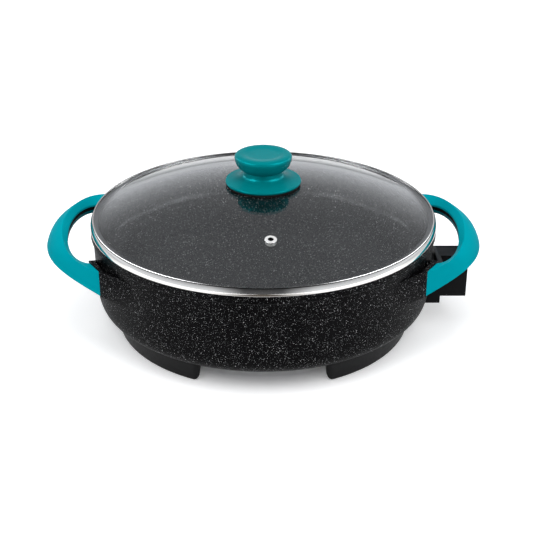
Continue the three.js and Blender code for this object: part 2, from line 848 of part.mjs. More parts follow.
// Sections of the grip and of the insert under it, at one place along the loop
function handleSection(share) {
	const outer = railPoint(outerRail, share);
	const ridge = railPoint(ridgeRail, share);
	const inner = railPoint(innerRail, share);
	const inward = inner.clone().sub(outer).setZ(0).normalize();
	const corner = new THREE.Vector3(
		outer.x, outer.y, THREE.MathUtils.lerp(ridge.z, outer.z, gripShoulderShare));
	const shoulder = outer.clone().add(ridge).divideScalar(2).lerp(corner, gripBulgeShare);
	const skin = new THREE.QuadraticBezierCurve3(outer, shoulder, ridge).getPoints(4);
	const lining = skin.map((p, i) => {
		const rise = i / (skin.length - 1);
		return p.clone().addScaledVector(inward, gripWall * (1 - rise / 2)).setZ(p.z - gripWall * rise);
	});
	const lip = inner.clone().setZ(inner.z - gripLip);
	const grip = [...skin, inner, lip, ...lining.toReversed()];
	const core = lining.map((p) => p.clone().addScaledVector(inward, 2 * clearance));
	const crown = lining.at(-1);
	const intoCorner = [lining.at(-2), lip]
		.map((p) => p.clone().sub(crown).normalize())
		.reduce((sum, p) => sum.add(p))
		.normalize();
	core[core.length - 1] = crown.clone().addScaledVector(intoCorner, 3 * clearance);
	const recessed = inner.clone().addScaledVector(inward, -insertRecess);
	const insert = [
		...core.reverse(),
		recessed.clone().setZ(inner.z - gripSideHeight),
		recessed.clone().setZ(inner.z - gripLip - 2 * clearance),
	];
	return { grip, insert };
}

function handleShares() {
	const shares = [];
	for (let i = -gripSteps; i <= gripSteps; i++) shares.push(i / gripSteps);
	return shares;
}

// Both ends of a left handle piece are bored for the screws, then it is turned for the right
function handlePiece(kind, [x, y]) {
	let shape = lofted(handleShares().map((share) => handleSection(share)[kind]));
	const reach = handleScrewLength - lugEndWall;
	const bore = handleRod(screwHoleRadius, overrun, reach);
	shape = shape.subtract(bore).subtract(mirrored(bore, corners.rear_left));
	return mirrored(shape, [x, y]);
}

// Screw from the lug's pocket into the handle, as a place and a direction
function handleScrewSeat([x, y]) {
	const normal = lugEndNormal();
	const face = handleScrewPlace().addScaledVector(normal, -lugEndWall - 2 * clearance);
	return {
		place: new THREE.Vector3(face.x * x, face.y * y, handleScrewHeight),
		along: new THREE.Vector3(normal.x * x, normal.y * y, 0),
	};
}

const glassBase = clearance + bandHem + clearance;
const glassFlange = glassBase + glassThickness;
const domeRadius = (glassFlangeRadius ** 2 + domeRise ** 2) / (2 * domeRise);
const domeCentre = glassFlange + domeRise - domeRadius;

function domeHeight(radius, below = 0) {
	return domeCentre + Math.sqrt((domeRadius - below) ** 2 - radius ** 2);
}

// Eyelet's frame: +Z leaves the dome at right angles
function ventMatrix() {
	const lean = Math.asin(ventCircle / domeRadius);
	return new THREE.Matrix4()
		.makeTranslation(0, -ventCircle, domeHeight(ventCircle))
		.multiply(new THREE.Matrix4().makeRotationX(lean));
}

function lidGlass() {
	const flangeEdge = bandRadius - bandRoll - clearance;
	const radii = [0, 0.25, 0.5, 0.75].map((share) => THREE.MathUtils.lerp(knobHole, ventCircle, share));
	radii.push(ventCircle, (ventCircle + glassFlangeRadius) / 2, glassFlangeRadius);
	const top = radii.map((radius) => point(radius, domeHeight(radius)));
	const under = radii.map((radius) => point(radius, domeHeight(radius, glassThickness)));
	under.at(-1).y = glassBase;
	const shape = turned([
		...top,
		point(flangeEdge, glassFlange),
		point(flangeEdge, glassBase),
		...under.reverse(),
		top[0].clone(),
	]);
	const cutter = new THREE.CylinderGeometry(ventHole, ventHole, 2 * overrun, screwSteps);
	return shape.subtract(solid(cutter.rotateX(Math.PI / 2).applyMatrix4(ventMatrix())));
}

function lidBand() {
	const hem = clearance + bandHem;
	const top = glassFlange + clearance + bandLip;
	const inside = bandRadius - bandRoll;
	const spigotInner = spigotRadius - spigotThickness;
	return turned([
		point(spigotInner, -spigotDepth),
		point(spigotRadius, -spigotDepth),
		point(spigotRadius, clearance),
		point(bandRadius - bandEdge, clearance),
		point(bandRadius, clearance + bandEdge),
		...arc(inside, top - bandRoll, bandRoll, 0, 90, 3),
		point(bandRadius - bandLipWidth, top),
		point(bandRadius - bandLipWidth, top - bandLip),
		point(inside, top - bandLip),
		point(inside, hem),
		point(spigotInner, hem),
		point(spigotInner, -spigotDepth),
	]);
}

function eyelet() {
	const under = -glassThickness - 2 * clearance;
	return turned([
		point(eyeletBore, clearance + eyeletThickness),
		point(eyeletBore, under - eyeletThickness),
		point(eyeletUnderRadius, under - eyeletThickness),
		point(eyeletUnderRadius, under),
		point(eyeletBarrel, under),
		point(eyeletBarrel, clearance),
		point(eyeletRadius, clearance),
		point(eyeletRadius - eyeletThickness / 2, clearance + eyeletThickness),
		point(eyeletBore, clearance + eyeletThickness),
	], 16);
}

const knobFoot = domeHeight(gasketRadius) + knobLift;

function knob() {
	const hole = insertRadius + clearance;
	const holeTop = knobBossHeight + insertLength + clearance;
	const inner = gasketInner;
	return turned([
		point(0, holeTop),
		point(hole, holeTop),
		point(hole, knobBossHeight),
		point(knobBossRadius, knobBossHeight),
		point(knobBossRadius, knobRecessHeight - knobShell),
		point(inner - knobShell, knobBaseCrest),
		point(inner, 0),
		point(knobBaseRadius - knobBaseEdge / 2, 0),
		point(knobBaseRadius, knobBaseEdge),
		...bend(
			point(knobBaseRadius - knobBaseEdge / 2, knobBaseCrest),
			point(knobSweepRadius, knobSweepHeight),
			point(knobNeckRadius, knobNeckHeight), 5),
		...bend(
			point(knobNeckRadius, knobNeckHeight + knobBaseEdge / 2),
			point(capUnderRadius, capUnderHeight),
			point(capRadius, capHeight), 4),
		...bend(
			point(capRadius, capHeight),
			point(capRadius, capShoulderHeight),
			point(capCrownRadius, capCrownHeight), 3).slice(1),
		point(0, capCrownHeight - capDishDepth),
	], smallRoundSteps).translate([0, 0, knobFoot]);
}

function knobGasket() {
	const top = knobFoot - clearance;
	return turned([
		point(gasketInner, domeHeight(gasketInner) + clearance),
		point(gasketRadius, domeHeight(gasketRadius) + clearance),
		point(gasketRadius, top),
		point(gasketInner, top),
		point(gasketInner, domeHeight(gasketInner) + clearance),
	], smallRoundSteps);
}

function knobInsert() {
	const hole = screwRadius + clearance;
	return turned([
		point(hole, 0),
		point(insertRadius, 0),
		point(insertRadius, insertLength),
		point(hole, insertLength),
		point(hole, 0),
	], screwSteps);
}

function knobWasher() {
	const hole = screwRadius + clearance;
	return turned([
		point(hole, -washerThickness),
		point(washerRadius, -washerThickness),
		point(washerRadius, 0),
		point(hole, 0),
		point(hole, -washerThickness),
	], 16);
}

const coating = { color: 0x1c1c1e, roughness: 0.45, metalness: 0.1 };
const teal = { color: 0x00949f, roughness: 0.35, metalness: 0 };
const blackPlastic = { color: 0x141415, roughness: 0.5, metalness: 0 };
const brightSteel = { color: 0xd8d8d6, roughness: 0.15, metalness: 1 };
const dullSteel = { color: 0x9b9c9e, roughness: 0.4, metalness: 0.9 };
const ceramic = { color: 0xe6e2d8, roughness: 0.6, metalness: 0 };
const brass = { color: 0xb99a4c, roughness: 0.3, metalness: 1 };
const glass = { color: 0xdfe9e8, roughness: 0.05, metalness: 0, transparent: true, opacity: 0.25 };
const gasketRubber = { color: 0x0f0f10, roughness: 0.8, metalness: 0 };

// Named mesh of a solid with a material of its own
function piece(name, shape, look, place = new THREE.Vector3()) {
	const mesh = new THREE.Mesh(geometryOf(shape), new THREE.MeshStandardMaterial(look));
	mesh.name = name;
	mesh.position.copy(place);
	return mesh;
}

// Mesh whose own +Z is turned to a direction
function aimed(mesh, along) {
	mesh.quaternion.setFromUnitVectors(new THREE.Vector3(0, 0, 1), along);
	return mesh;
}

const base = new THREE.Group();
base.add(piece('pan', pan(), coating));
base.add(piece('heating_element', heatingElement(), dullSteel));
base.add(piece('socket_plate', socketPlate(), dullSteel));
base.add(piece('socket_shroud', socketShroud(), blackPlastic));
base.add(piece('base_plate', basePlate(), dullSteel));

// What runs along +X in the socket is made along +Z and laid over
const outward = new THREE.Vector3(1, 0, 0);
base.add(aimed(piece('probe_sleeve', probeSleeve(), dullSteel, new THREE.Vector3(0, 0, socketHeight)), outward));
for (const [end, side] of [['front', -1], ['rear', 1]]) {
	const pinPlace = new THREE.Vector3(0, side * pinSpacing / 2, socketHeight);
	const bushPlace = new THREE.Vector3(plateFace - clearance, pinPlace.y, socketHeight);
	const screwPlace = new THREE.Vector3(blockEnd + clearance, side * shroudScrewSpacing / 2, socketHeight);
	base.add(aimed(piece(`terminal_pin_${end}`, pin(), dullSteel, pinPlace), outward));
	base.add(aimed(piece(`terminal_bush_${end}`, bush(), ceramic, bushPlace), outward));
	base.add(aimed(
		piece(`shroud_screw_${end}`, screw(shroudScrewLength), dullSteel, screwPlace),
		outward.clone().negate(),
	));
}

for (const [side, mirror] of [['right', [1, 1]], ['left', [-1, 1]]]) {
	base.add(piece(`skid_${side}`, mirrored(skid(), mirror), blackPlastic));
	const handle = [-mirror[0], 1];
	base.add(piece(`handle_grip_${side}`, handlePiece('grip', handle), teal));
	base.add(piece(`handle_insert_${side}`, handlePiece('insert', handle), teal));
}

const postNames = ['rear_right', 'rear_left', 'front_left', 'front_right'];
postPlaces().forEach((place, i) => {
	const seat = new THREE.Vector3(place.x, place.y, skidHeadDepth - clearance);
	base.add(piece(`skid_screw_${postNames[i]}`, screw(skidScrewLength), dullSteel, seat));
});

for (const [name, mirror] of Object.entries(corners)) {
	const { place, along } = handleScrewSeat(mirror);
	base.add(aimed(piece(`handle_screw_${name}`, screw(handleScrewLength), dullSteel, place), along));
}

const lid = new THREE.Group();
lid.position.z = rimHeight;
lid.rotation.z = radians(lidTurn);
lid.add(piece('lid_glass', lidGlass(), glass));
lid.add(piece('lid_band', lidBand(), brightSteel));
lid.add(piece('knob', knob(), teal));
lid.add(piece('knob_gasket', knobGasket(), gasketRubber));
const insertFoot = new THREE.Vector3(0, 0, knobFoot + knobBossHeight);
lid.add(piece('knob_insert', knobInsert(), brass, insertFoot));
const washerSeat = new THREE.Vector3(0, 0, domeHeight(0, glassThickness) - 2 * clearance);
lid.add(piece('knob_washer', knobWasher(), dullSteel, washerSeat));
const screwSeat = washerSeat.clone().setZ(washerSeat.z - washerThickness - clearance);
lid.add(piece('knob_screw', screw(knobScrewLength), dullSteel, screwSeat));
const vent = piece('vent_eyelet', eyelet(), brightSteel);
vent.applyMatrix4(ventMatrix());
lid.add(vent);

const skillet = new THREE.Group();
skillet.name = 'electric_skillet';
skillet.add(base, lid);

export default skillet;
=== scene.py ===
"""Looks of an electric skillet with a lift-off glass lid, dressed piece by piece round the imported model."""

import math

import bmesh
import bpy
from bpy.props import FloatProperty, FloatVectorProperty, IntProperty, PointerProperty
from bpy.types import Operator, Panel, PropertyGroup
from mathutils import Matrix, Vector
from mathutils.geometry import interpolate_bezier


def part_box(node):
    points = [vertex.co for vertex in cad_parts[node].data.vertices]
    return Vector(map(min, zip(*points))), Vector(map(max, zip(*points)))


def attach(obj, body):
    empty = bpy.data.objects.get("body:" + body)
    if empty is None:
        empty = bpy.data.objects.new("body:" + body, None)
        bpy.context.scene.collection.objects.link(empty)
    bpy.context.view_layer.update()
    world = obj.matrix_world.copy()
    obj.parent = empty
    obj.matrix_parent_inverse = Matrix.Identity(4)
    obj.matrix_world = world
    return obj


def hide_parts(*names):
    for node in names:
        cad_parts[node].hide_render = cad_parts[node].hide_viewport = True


bl_info = {
    "name": "Electric Skillet",
    "version": (1, 0, 0),
    "blender": (4, 5, 0),
    "location": "3D View > Sidebar > Skillet",
    "description": "Builds the visible pieces of an electric skillet round its packed model",
    "category": "Add Mesh",
}

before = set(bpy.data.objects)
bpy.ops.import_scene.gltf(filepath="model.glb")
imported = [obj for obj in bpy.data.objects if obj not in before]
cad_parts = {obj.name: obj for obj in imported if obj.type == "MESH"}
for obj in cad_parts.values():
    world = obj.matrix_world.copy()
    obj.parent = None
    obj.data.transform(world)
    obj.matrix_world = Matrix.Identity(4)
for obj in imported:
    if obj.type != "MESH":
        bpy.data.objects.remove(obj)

MM = 0.001
GLASS_THICKNESS = 4 * MM
PAN_LOW, PAN_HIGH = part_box("pan")
SHROUD_LOW, SHROUD_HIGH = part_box("socket_shroud")
GLASS_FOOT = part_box("lid_glass")[0].z
SKID_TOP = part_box("skid_left")[1].z


def centre(node):
    """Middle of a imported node's box"""
    low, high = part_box(node)
    return (low + high) / 2


def length(name, description, default):
    """Size for the panel, with its default in millimetres"""
    return FloatProperty(name=name, description=description, default=default * MM, unit="LENGTH", precision=5)


def colour(name, description, default):
    """Colour for the panel"""
    return FloatVectorProperty(
        name=name, description=description, default=default, size=3, min=0, max=1, subtype="COLOR"
    )


class PanSizes(PropertyGroup):
    """Sizes of the pan, its lugs and what it stands on"""

    rim_radius: length("Rim radius", "Outer radius of the rim bead", PAN_HIGH.x / MM)
    rim_height: length("Rim height", "Height of the rim above the table", PAN_HIGH.z / MM)
    belly_radius: length("Belly radius", "Radius where the wall is widest", 176.7)
    skirt_radius: length("Skirt radius", "Radius of the lower edge", 168)
    skirt_height: length("Skirt height", "Height of the lower edge", PAN_LOW.z / MM)
    bowl_radius: length("Bowl radius", "Inner radius at the bottom of the wall", 171.4)
    mouth_radius: length("Mouth radius", "Inner radius at the rim", 173)
    floor_height: length("Floor height", "Height of the cooking surface", 65.5)
    floor: length("Floor", "Thickness of the floor", 5)
    skirt: length("Skirt", "Thickness of the skirt", 4)
    lug_top: length("Lug top", "Height of the lugs' upper edge", 97.5)
    lug_bottom: length("Lug bottom", "Height of the lugs' underside", 69.5)
    skid_height: length("Skid height", "Height of the skids' upper edge", SKID_TOP / MM)
    skid_radius: length("Skid radius", "Outer radius of the skids", 156)
    skid_width: length("Skid width", "Width of a skid seen from below", 27)


class LidSizes(PropertyGroup):
    """Sizes of the lid, its band and its knob"""

    band_radius: length("Band radius", "Outer radius of the steel band", 180.3)
    spigot_radius: length("Spigot radius", "Outer radius of the ring that drops into the pan", 172.3)
    flange_radius: length("Flange radius", "Where the dome meets the flat rim of the glass", 170.5)
    flange_height: length("Flange height", "Top of the glass's flat rim", (GLASS_FOOT + GLASS_THICKNESS) / MM)
    glass_thickness: length("Glass thickness", "Thickness of the tempered glass", GLASS_THICKNESS / MM)
    dome_rise: length("Dome rise", "How far the dome rises over its flat rim", 33.5)
    vent_circle: length("Vent distance", "Distance of the steam vent from the middle", 113.5)
    knob_radius: length("Knob base radius", "Radius of the knob's flared base", 39.4)
    neck_radius: length("Knob neck radius", "Radius of the knob's neck", 20.3)
    cap_radius: length("Knob cap radius", "Radius of the knob's cap", 29.6)
    knob_height: length("Knob height", "Height of the knob over its foot", 31)
    gasket_radius: length("Gasket radius", "Outer radius of the gasket under the knob", 38.7)


class SocketSizes(PropertyGroup):
    """Sizes of the shroud round the socket for the plug-in control"""

    hood_end: length("Hood end", "How far the hood reaches from the middle", SHROUD_HIGH.x / MM)
    hood_width: length("Hood width", "Width of the hood", (SHROUD_HIGH.y - SHROUD_LOW.y) / MM)
    hood_height: length("Hood height", "Height of the hood from its underside to its top", 35)
    wall: length("Shroud wall", "Thickness of the shroud's walls", 2.6)


class Finishes(PropertyGroup):
    """Colours of the skillet, and how finely its round pieces are turned"""

    coating: colour("Coating", "Ground colour of the speckled coating", (0.0024, 0.0024, 0.0027))
    specks: colour("Specks", "Colour of the specks in the coating", (0.9, 0.91, 0.92))
    teal: colour("Handles", "Colour of the handles", (0.0, 0.365, 0.44))
    knob: colour("Knob", "Colour of the knob", (0.0, 0.25, 0.27))
    plastic: colour("Black plastic", "Colour of the skids and the shroud", (0.0065, 0.0065, 0.007))
    steel: colour("Steel", "Colour of the plain steel pieces", (0.5, 0.5, 0.51))
    band: colour("Band", "Colour of the polished band", (0.84, 0.825, 0.8))
    turning_steps: IntProperty(
        name="Turning steps", description="Steps of a full turn", default=256, min=48, max=512
    )


class SkilletSettings(PropertyGroup):
    """All sizes and colours of the skillet"""

    pan: PointerProperty(type=PanSizes)
    lid: PointerProperty(type=LidSizes)
    socket: PointerProperty(type=SocketSizes)
    finish: PointerProperty(type=Finishes)


def sizes():
    """Settings of the scene"""
    return bpy.context.scene.skillet


# Shapes


def bevel(bm, geom, size, segments, affect="EDGES"):
    """Rounds edges or corners of a mesh"""
    bmesh.ops.bevel(
        bm,
        geom=geom,
        offset=size,
        offset_type="OFFSET",
        segments=segments,
        profile=0.5,
        affect=affect,
        material=-1,
    )


ROUNDING_SEGMENTS = 5


def turned(corners, steps, closed=True):
    """Solid turned about the upright axis from corners of (radius, height, rounding), which form a closed
    ring, or else start and end on the axis"""
    bm = bmesh.new()
    verts = [bm.verts.new((radius, 0, height)) for radius, height, _ in corners]
    for pair in zip(verts, verts[1:] + verts[:1] if closed else verts[1:]):
        bm.edges.new(pair)
    for vert, (_, _, rounding) in zip(verts, corners):
        if rounding:
            one, other = [edge.other_vert(vert).co - vert.co for edge in vert.link_edges]
            bevel(bm, [vert], rounding / math.tan(one.angle(other) / 2), ROUNDING_SEGMENTS, "VERTICES")
    bmesh.ops.spin(
        bm,
        geom=bm.verts[:] + bm.edges[:],
        cent=(0, 0, 0),
        axis=(0, 0, 1),
        dvec=(0, 0, 0),
        angle=math.tau,
        steps=steps,
        use_merge=True,
        use_duplicate=False,
    )
    bmesh.ops.remove_doubles(bm, verts=bm.verts[:], dist=1e-6)
    bmesh.ops.recalc_face_normals(bm, faces=bm.faces[:])
    return bm


def curve(start, out, back, end, count):
    """Points of a bezier curve as corners without rounding"""
    points = interpolate_bezier(*[Vector((x, y, 0)) for x, y in (start, out, back, end)], count)
    return [(p.x, p.y, 0) for p in points]


def arc(middle, radius, start, end, steps):
    """Points of an arc from one angle to another, in degrees"""
    angles = [math.radians(start + (end - start) * i / steps) for i in range(steps + 1)]
    return [(middle[0] + radius * math.cos(a), middle[1] + radius * math.sin(a)) for a in angles]


def bar(low, high, rounding=0, segments=4):
    """Box between two corners, with its edges along X rounded"""
    bm = bmesh.new()
    bmesh.ops.create_cube(bm, size=1)
    low, high = Vector(low), Vector(high)
    bmesh.ops.scale(bm, vec=high - low, verts=bm.verts[:])
    bmesh.ops.translate(bm, vec=(low + high) / 2, verts=bm.verts[:])
    if rounding:
        along = [e for e in bm.edges if abs((e.verts[0].co - e.verts[1].co).normalized().x) > 0.999]
        bevel(bm, along, rounding, segments)
    return bm


def prism(outline, low, high):
    """Upright solid from an outline of (x, y)"""
    bm = bmesh.new()
    face = bm.faces.new([bm.verts.new((x, y, low)) for x, y in outline])
    grown = bmesh.ops.extrude_face_region(bm, geom=[face])
    tops = [v for v in grown["geom"] if isinstance(v, bmesh.types.BMVert)]
    bmesh.ops.translate(bm, vec=(0, 0, high - low), verts=tops)
    bmesh.ops.recalc_face_normals(bm, faces=bm.faces[:])
    return bm


def rod(radius, start, end, segments=32):
    """Rod between two points"""
    bm = bmesh.new()
    start, end = Vector(start), Vector(end)
    along = end - start
    upright = along.x == along.y == 0
    lean = Matrix() if upright else along.to_track_quat("Z", "Y").to_matrix().to_4x4()
    bmesh.ops.create_cone(
        bm,
        cap_ends=True,
        segments=segments,
        radius1=radius,
        radius2=radius,
        depth=along.length,
        matrix=Matrix.Translation((start + end) / 2) @ lean,
    )
    return bm


def loft(rings):
    """Skin over rings of points, bridged ring by ring and closed at both ends"""
    bm = bmesh.new()
    loops = []
    for ring in rings:
        verts = [bm.verts.new(p) for p in ring]
        loops.append([bm.edges.new((a, b)) for a, b in zip(verts, verts[1:] + verts[:1])])
    for one, other in zip(loops, loops[1:]):
        bmesh.ops.bridge_loops(bm, edges=one + other)
    for loop in (loops[0], loops[-1]):
        bmesh.ops.edgeloop_fill(bm, edges=loop)
    bmesh.ops.recalc_face_normals(bm, faces=bm.faces[:])
    return bm


def mesh_object(name, bm):
    """Object of its own for a finished mesh"""
    mesh = bpy.data.meshes.new(name)
    bm.to_mesh(mesh)
    bm.free()
    obj = bpy.data.objects.new(name, mesh)
    bpy.context.scene.collection.objects.link(obj)
    return obj


def apply_modifiers(obj):
    """Bakes an object's modifiers into its mesh"""
    bpy.context.view_layer.update()
    seen = obj.evaluated_get(bpy.context.evaluated_depsgraph_get())
    mesh = bpy.data.meshes.new_from_object(seen)
    obj.modifiers.clear()
    obj.data = mesh


def cut(obj, cutters, operation="DIFFERENCE"):
    """Cuts solids out of an object, or joins them to it, and removes them"""
    for bm in cutters:
        tool = mesh_object("cutter", bm)
        modifier = obj.modifiers.new("cut", "BOOLEAN")
        modifier.operation = operation
        modifier.solver = "EXACT"
        modifier.object = tool
        apply_modifiers(obj)
        bpy.data.objects.remove(tool)


def soften(obj, width, angle=35):
    """Rounds the edges of an object that are sharper than an angle in degrees"""
    modifier = obj.modifiers.new("soften", "BEVEL")
    modifier.width = width
    modifier.segments = 2
    modifier.limit_method = "ANGLE"
    modifier.angle_limit = math.radians(angle)
    modifier.harden_normals = False
    apply_modifiers(obj)


def mark(obj, index, test):
    """Gives another of its looks to the faces of a piece whose middle and normal pass a test"""
    for face in obj.data.polygons:
        if test(face.center, face.normal):
            face.material_index = index


def finish_piece(obj, node, body, looks, smooth=32):
    """Puts a piece in the place of a node, with its looks; edges sharper than an angle stay crisp"""
    mesh = obj.data
    kept = [face.material_index for face in mesh.polygons]
    mesh.materials.clear()
    for look in looks:
        mesh.materials.append(material(look))
    mesh.polygons.foreach_set("material_index", kept)
    mesh.shade_smooth()
    mesh.set_sharp_from_angle(angle=math.radians(smooth))
    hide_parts(node)
    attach(obj, body)


def keep_nodes(names, look):
    """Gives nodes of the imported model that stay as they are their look"""
    for name in names:
        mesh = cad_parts[name].data
        mesh.materials.clear()
        mesh.materials.append(material(look))


# Materials


class Graph:
    """Adds nodes to the tree of a material or the world and links them"""

    def __init__(self, owner, coordinates="Object"):
        owner.use_nodes = True
        self.tree = owner.node_tree
        self.shader = self.tree.nodes.get("Principled BSDF")
        self.place = self.add("ShaderNodeTexCoord").outputs[coordinates]

    def add(self, kind, **settings):
        node = self.tree.nodes.new(kind)
        for key, value in settings.items():
            setattr(node, key, value)
        return node

    def link(self, source, target):
        self.tree.links.new(source, target)

    def set(self, **sockets):
        """Values of the shader that are the same all over the surface"""
        for key, value in sockets.items():
            self.shader.inputs[key.replace("_", " ")].default_value = value

    def axes(self):
        """X, Y and Z of the place"""
        node = self.add("ShaderNodeSeparateXYZ")
        self.link(self.place, node.inputs["Vector"])
        return node.outputs

    def noise(self, scale, detail=3, roughness=0.5, place=None, output="Fac"):
        node = self.add("ShaderNodeTexNoise")
        node.inputs["Scale"].default_value = scale
        node.inputs["Detail"].default_value = detail
        node.inputs["Roughness"].default_value = roughness
        self.link(place or self.place, node.inputs["Vector"])
        return node.outputs[output]

    def ramp(self, value, low, high, to_low=0.0, to_high=1.0):
        """Value mapped from low..high to another range, held at its ends"""
        node = self.add("ShaderNodeMapRange")
        node.inputs["From Min"].default_value = low
        node.inputs["From Max"].default_value = high
        node.inputs["To Min"].default_value = to_low
        node.inputs["To Max"].default_value = to_high
        self.link(value, node.inputs["Value"])
        return node.outputs["Result"]

    def spread(self, noise, low=0.0, high=1.0):
        """Noise, which keeps near its middle, spread over a whole range"""
        return self.ramp(noise, 0.3, 0.7, low, high)

    def math(self, operation, *values):
        node = self.add("ShaderNodeMath", operation=operation)
        for socket, value in zip(node.inputs, values):
            if isinstance(value, (int, float)):
                socket.default_value = value
            else:
                self.link(value, socket)
        return node.outputs["Value"]

    def product(self, first, *others):
        for other in others:
            first = self.math("MULTIPLY", first, other)
        return first

    def mix(self, share, one, other):
        """Mix of two colours"""
        node = self.add("ShaderNodeMix", data_type="RGBA")
        self.link(share, node.inputs["Factor"])
        for socket, value in ((node.inputs[6], one), (node.inputs[7], other)):
            if isinstance(value, bpy.types.NodeSocket):
                self.link(value, socket)
            else:
                socket.default_value = (*value, 1)
        return node.outputs[2]

    def bump(self, height, strength, distance):
        node = self.add("ShaderNodeBump")
        node.inputs["Strength"].default_value = strength
        node.inputs["Distance"].default_value = distance
        self.link(height, node.inputs["Height"])
        self.link(node.outputs["Normal"], self.shader.inputs["Normal"])

    def colour(self, value):
        self.link(value, self.shader.inputs["Base Color"])

    def roughness(self, value):
        self.link(value, self.shader.inputs["Roughness"])

    def other_shader(self, kind, tint):
        """Shader of one colour besides the main one"""
        node = self.add(kind)
        node.inputs["Color"].default_value = (*tint, 1)
        return node

    def surface(self, share, one, other):
        """Mixes two shaders into what the surface shows"""
        node = self.add("ShaderNodeMixShader")
        for socket, source in zip(node.inputs, (share, one, other)):
            self.link(source, socket)
        self.link(node.outputs["Shader"], self.tree.nodes["Material Output"].inputs["Surface"])


def shade(value, factor):
    """Colour made darker or lighter"""
    return tuple(min(1, c * factor) for c in value)


def material(build):
    """The material that a function builds, made the first time it is asked for and named after it"""
    name = build.__name__.replace("_", " ")
    found = bpy.data.materials.get(name)
    if not found:
        found = bpy.data.materials.new(name)
        build(Graph(found), sizes().finish)
    return found


SPECKS = (
    # cells in a metre, share of them that hold a speck, its largest radius in cells, its brightness
    (430, 0.65, 0.16, 1.0),
    (690, 0.65, 0.21, 1.0),
    (1060, 0.6, 0.27, 0.65),
)
SMALLEST_SPECK_SHARE, FAINTEST_SPECK_SHARE = 0.45, 0.08
SPECK_RAGGEDNESS = 0.0011


def speckled_coating(
    graph, finish, fine=1.0, more=1.0, ground=1.0, bright=1.0, gloss=(0.38, 0.5), level=0.035
):
    """Near-black coating with white specks of three sizes, each in a random share of its cells"""
    wobble = graph.add("ShaderNodeMix", data_type="VECTOR")
    wobble.inputs["Factor"].default_value = SPECK_RAGGEDNESS
    graph.link(graph.place, wobble.inputs[4])
    graph.link(graph.noise(scale=800, detail=2, output="Color"), wobble.inputs[5])
    total = None
    for scale, share, size, brightness in SPECKS:
        cells = graph.add("ShaderNodeTexVoronoi")
        cells.inputs["Scale"].default_value = scale * fine
        graph.link(wobble.outputs[1], cells.inputs["Vector"])
        chances = graph.add("ShaderNodeSeparateColor")
        graph.link(cells.outputs["Color"], chances.inputs["Color"])
        to_be, to_be_large, to_be_bright = chances.outputs
        kept = graph.math("LESS_THAN", to_be, share * more)
        radius = graph.ramp(to_be_large, 0, 1, size * SMALLEST_SPECK_SHARE, size)
        dot = graph.math("LESS_THAN", cells.outputs["Distance"], radius)
        mostly_faint = graph.math("POWER", to_be_bright, 2)
        glint = graph.ramp(mostly_faint, 0, 1, brightness * FAINTEST_SPECK_SHARE, brightness)
        speck = graph.product(kept, dot, glint)
        total = speck if total is None else graph.math("MAXIMUM", total, speck)
    clouds = graph.ramp(graph.noise(scale=26, detail=4), 0.35, 0.65)
    dark, light = shade(finish.coating, 0.8 * ground), shade(finish.coating, 1.25 * ground)
    graph.colour(graph.mix(total, graph.mix(clouds, dark, light), shade(finish.specks, bright)))
    graph.roughness(graph.spread(graph.noise(scale=900, detail=2), *gloss))
    graph.bump(graph.noise(scale=1300, roughness=0.6), strength=0.04, distance=0.3 * MM)
    graph.set(Specular_IOR_Level=level)


def bowl_coating_painted_light(graph, finish):
    """The coating inside the bowl: larger and denser specks on a lighter, glossier ground. The lighter ground
    and brighter specks are painted light, making up for the light that the lid keeps out of the bowl
    """
    speckled_coating(
        graph, finish, fine=0.72, more=1.3, ground=1.6, bright=1.1, gloss=(0.16, 0.22), level=0.12
    )


def moulded(graph, base, rough, grain=2200, relief=0.05, level=0.12):
    """Moulded plastic with faint colour drift and a fine texture"""
    drift = graph.spread(graph.noise(scale=18))
    graph.colour(graph.mix(drift, shade(base, 0.95), shade(base, 1.04)))
    graph.roughness(graph.spread(graph.noise(scale=300), *rough))
    graph.bump(graph.noise(grain, detail=2), strength=relief, distance=0.2 * MM)
    graph.set(Specular_IOR_Level=level)


def painted_shade_pocket_black(graph, finish):
    # Half the coating's ground and no specks: painted shade for the pockets' floors
    moulded(graph, shade(finish.coating, 0.5), rough=(0.3, 0.4), grain=1800, relief=0.06)


def handle_teal(graph, finish):
    moulded(graph, finish.teal, rough=(0.34, 0.44), grain=2600, relief=0.04, level=0.003)


def painted_shade_insert_teal(graph, finish):
    # Teal at under half the grip's brightness: painted shade for the insert, which lies in the grip's shadow
    moulded(graph, shade(finish.teal, 0.45), rough=(0.4, 0.5), grain=2600, relief=0.04, level=0.05)


def knob_teal(graph, finish):
    moulded(graph, finish.knob, rough=(0.25, 0.27), grain=500, relief=0.003, level=0.016)
    graph.set(Metallic=0.2)


def shroud_black(graph, finish):
    moulded(graph, finish.plastic, rough=(0.42, 0.55), grain=2400, relief=0.12, level=0.06)


def painted_light_shroud_top(graph, finish):
    # Five times lighter black: painted light on the top of the hood
    moulded(graph, shade(finish.plastic, 5), rough=(0.4, 0.5), grain=2400, relief=0.08, level=0.3)


def skid_black(graph, finish):
    moulded(graph, shade(finish.plastic, 1.25), rough=(0.36, 0.5), grain=2400, relief=0.08)


def gasket_black(graph, finish):
    moulded(graph, (0.01, 0.01, 0.01), rough=(0.6, 0.75), grain=1800, relief=0.1)


def painted_shade_black(graph, finish):
    # Near black: painted shade in the insert's gap, the band's groove and the eyelet's bore
    moulded(graph, (0.006, 0.006, 0.006), rough=(0.6, 0.75), grain=1800, relief=0.1, level=0.04)


def bush_ceramic(graph, finish):
    moulded(graph, (0.72, 0.7, 0.64), rough=(0.3, 0.5), grain=1400, relief=0.06)


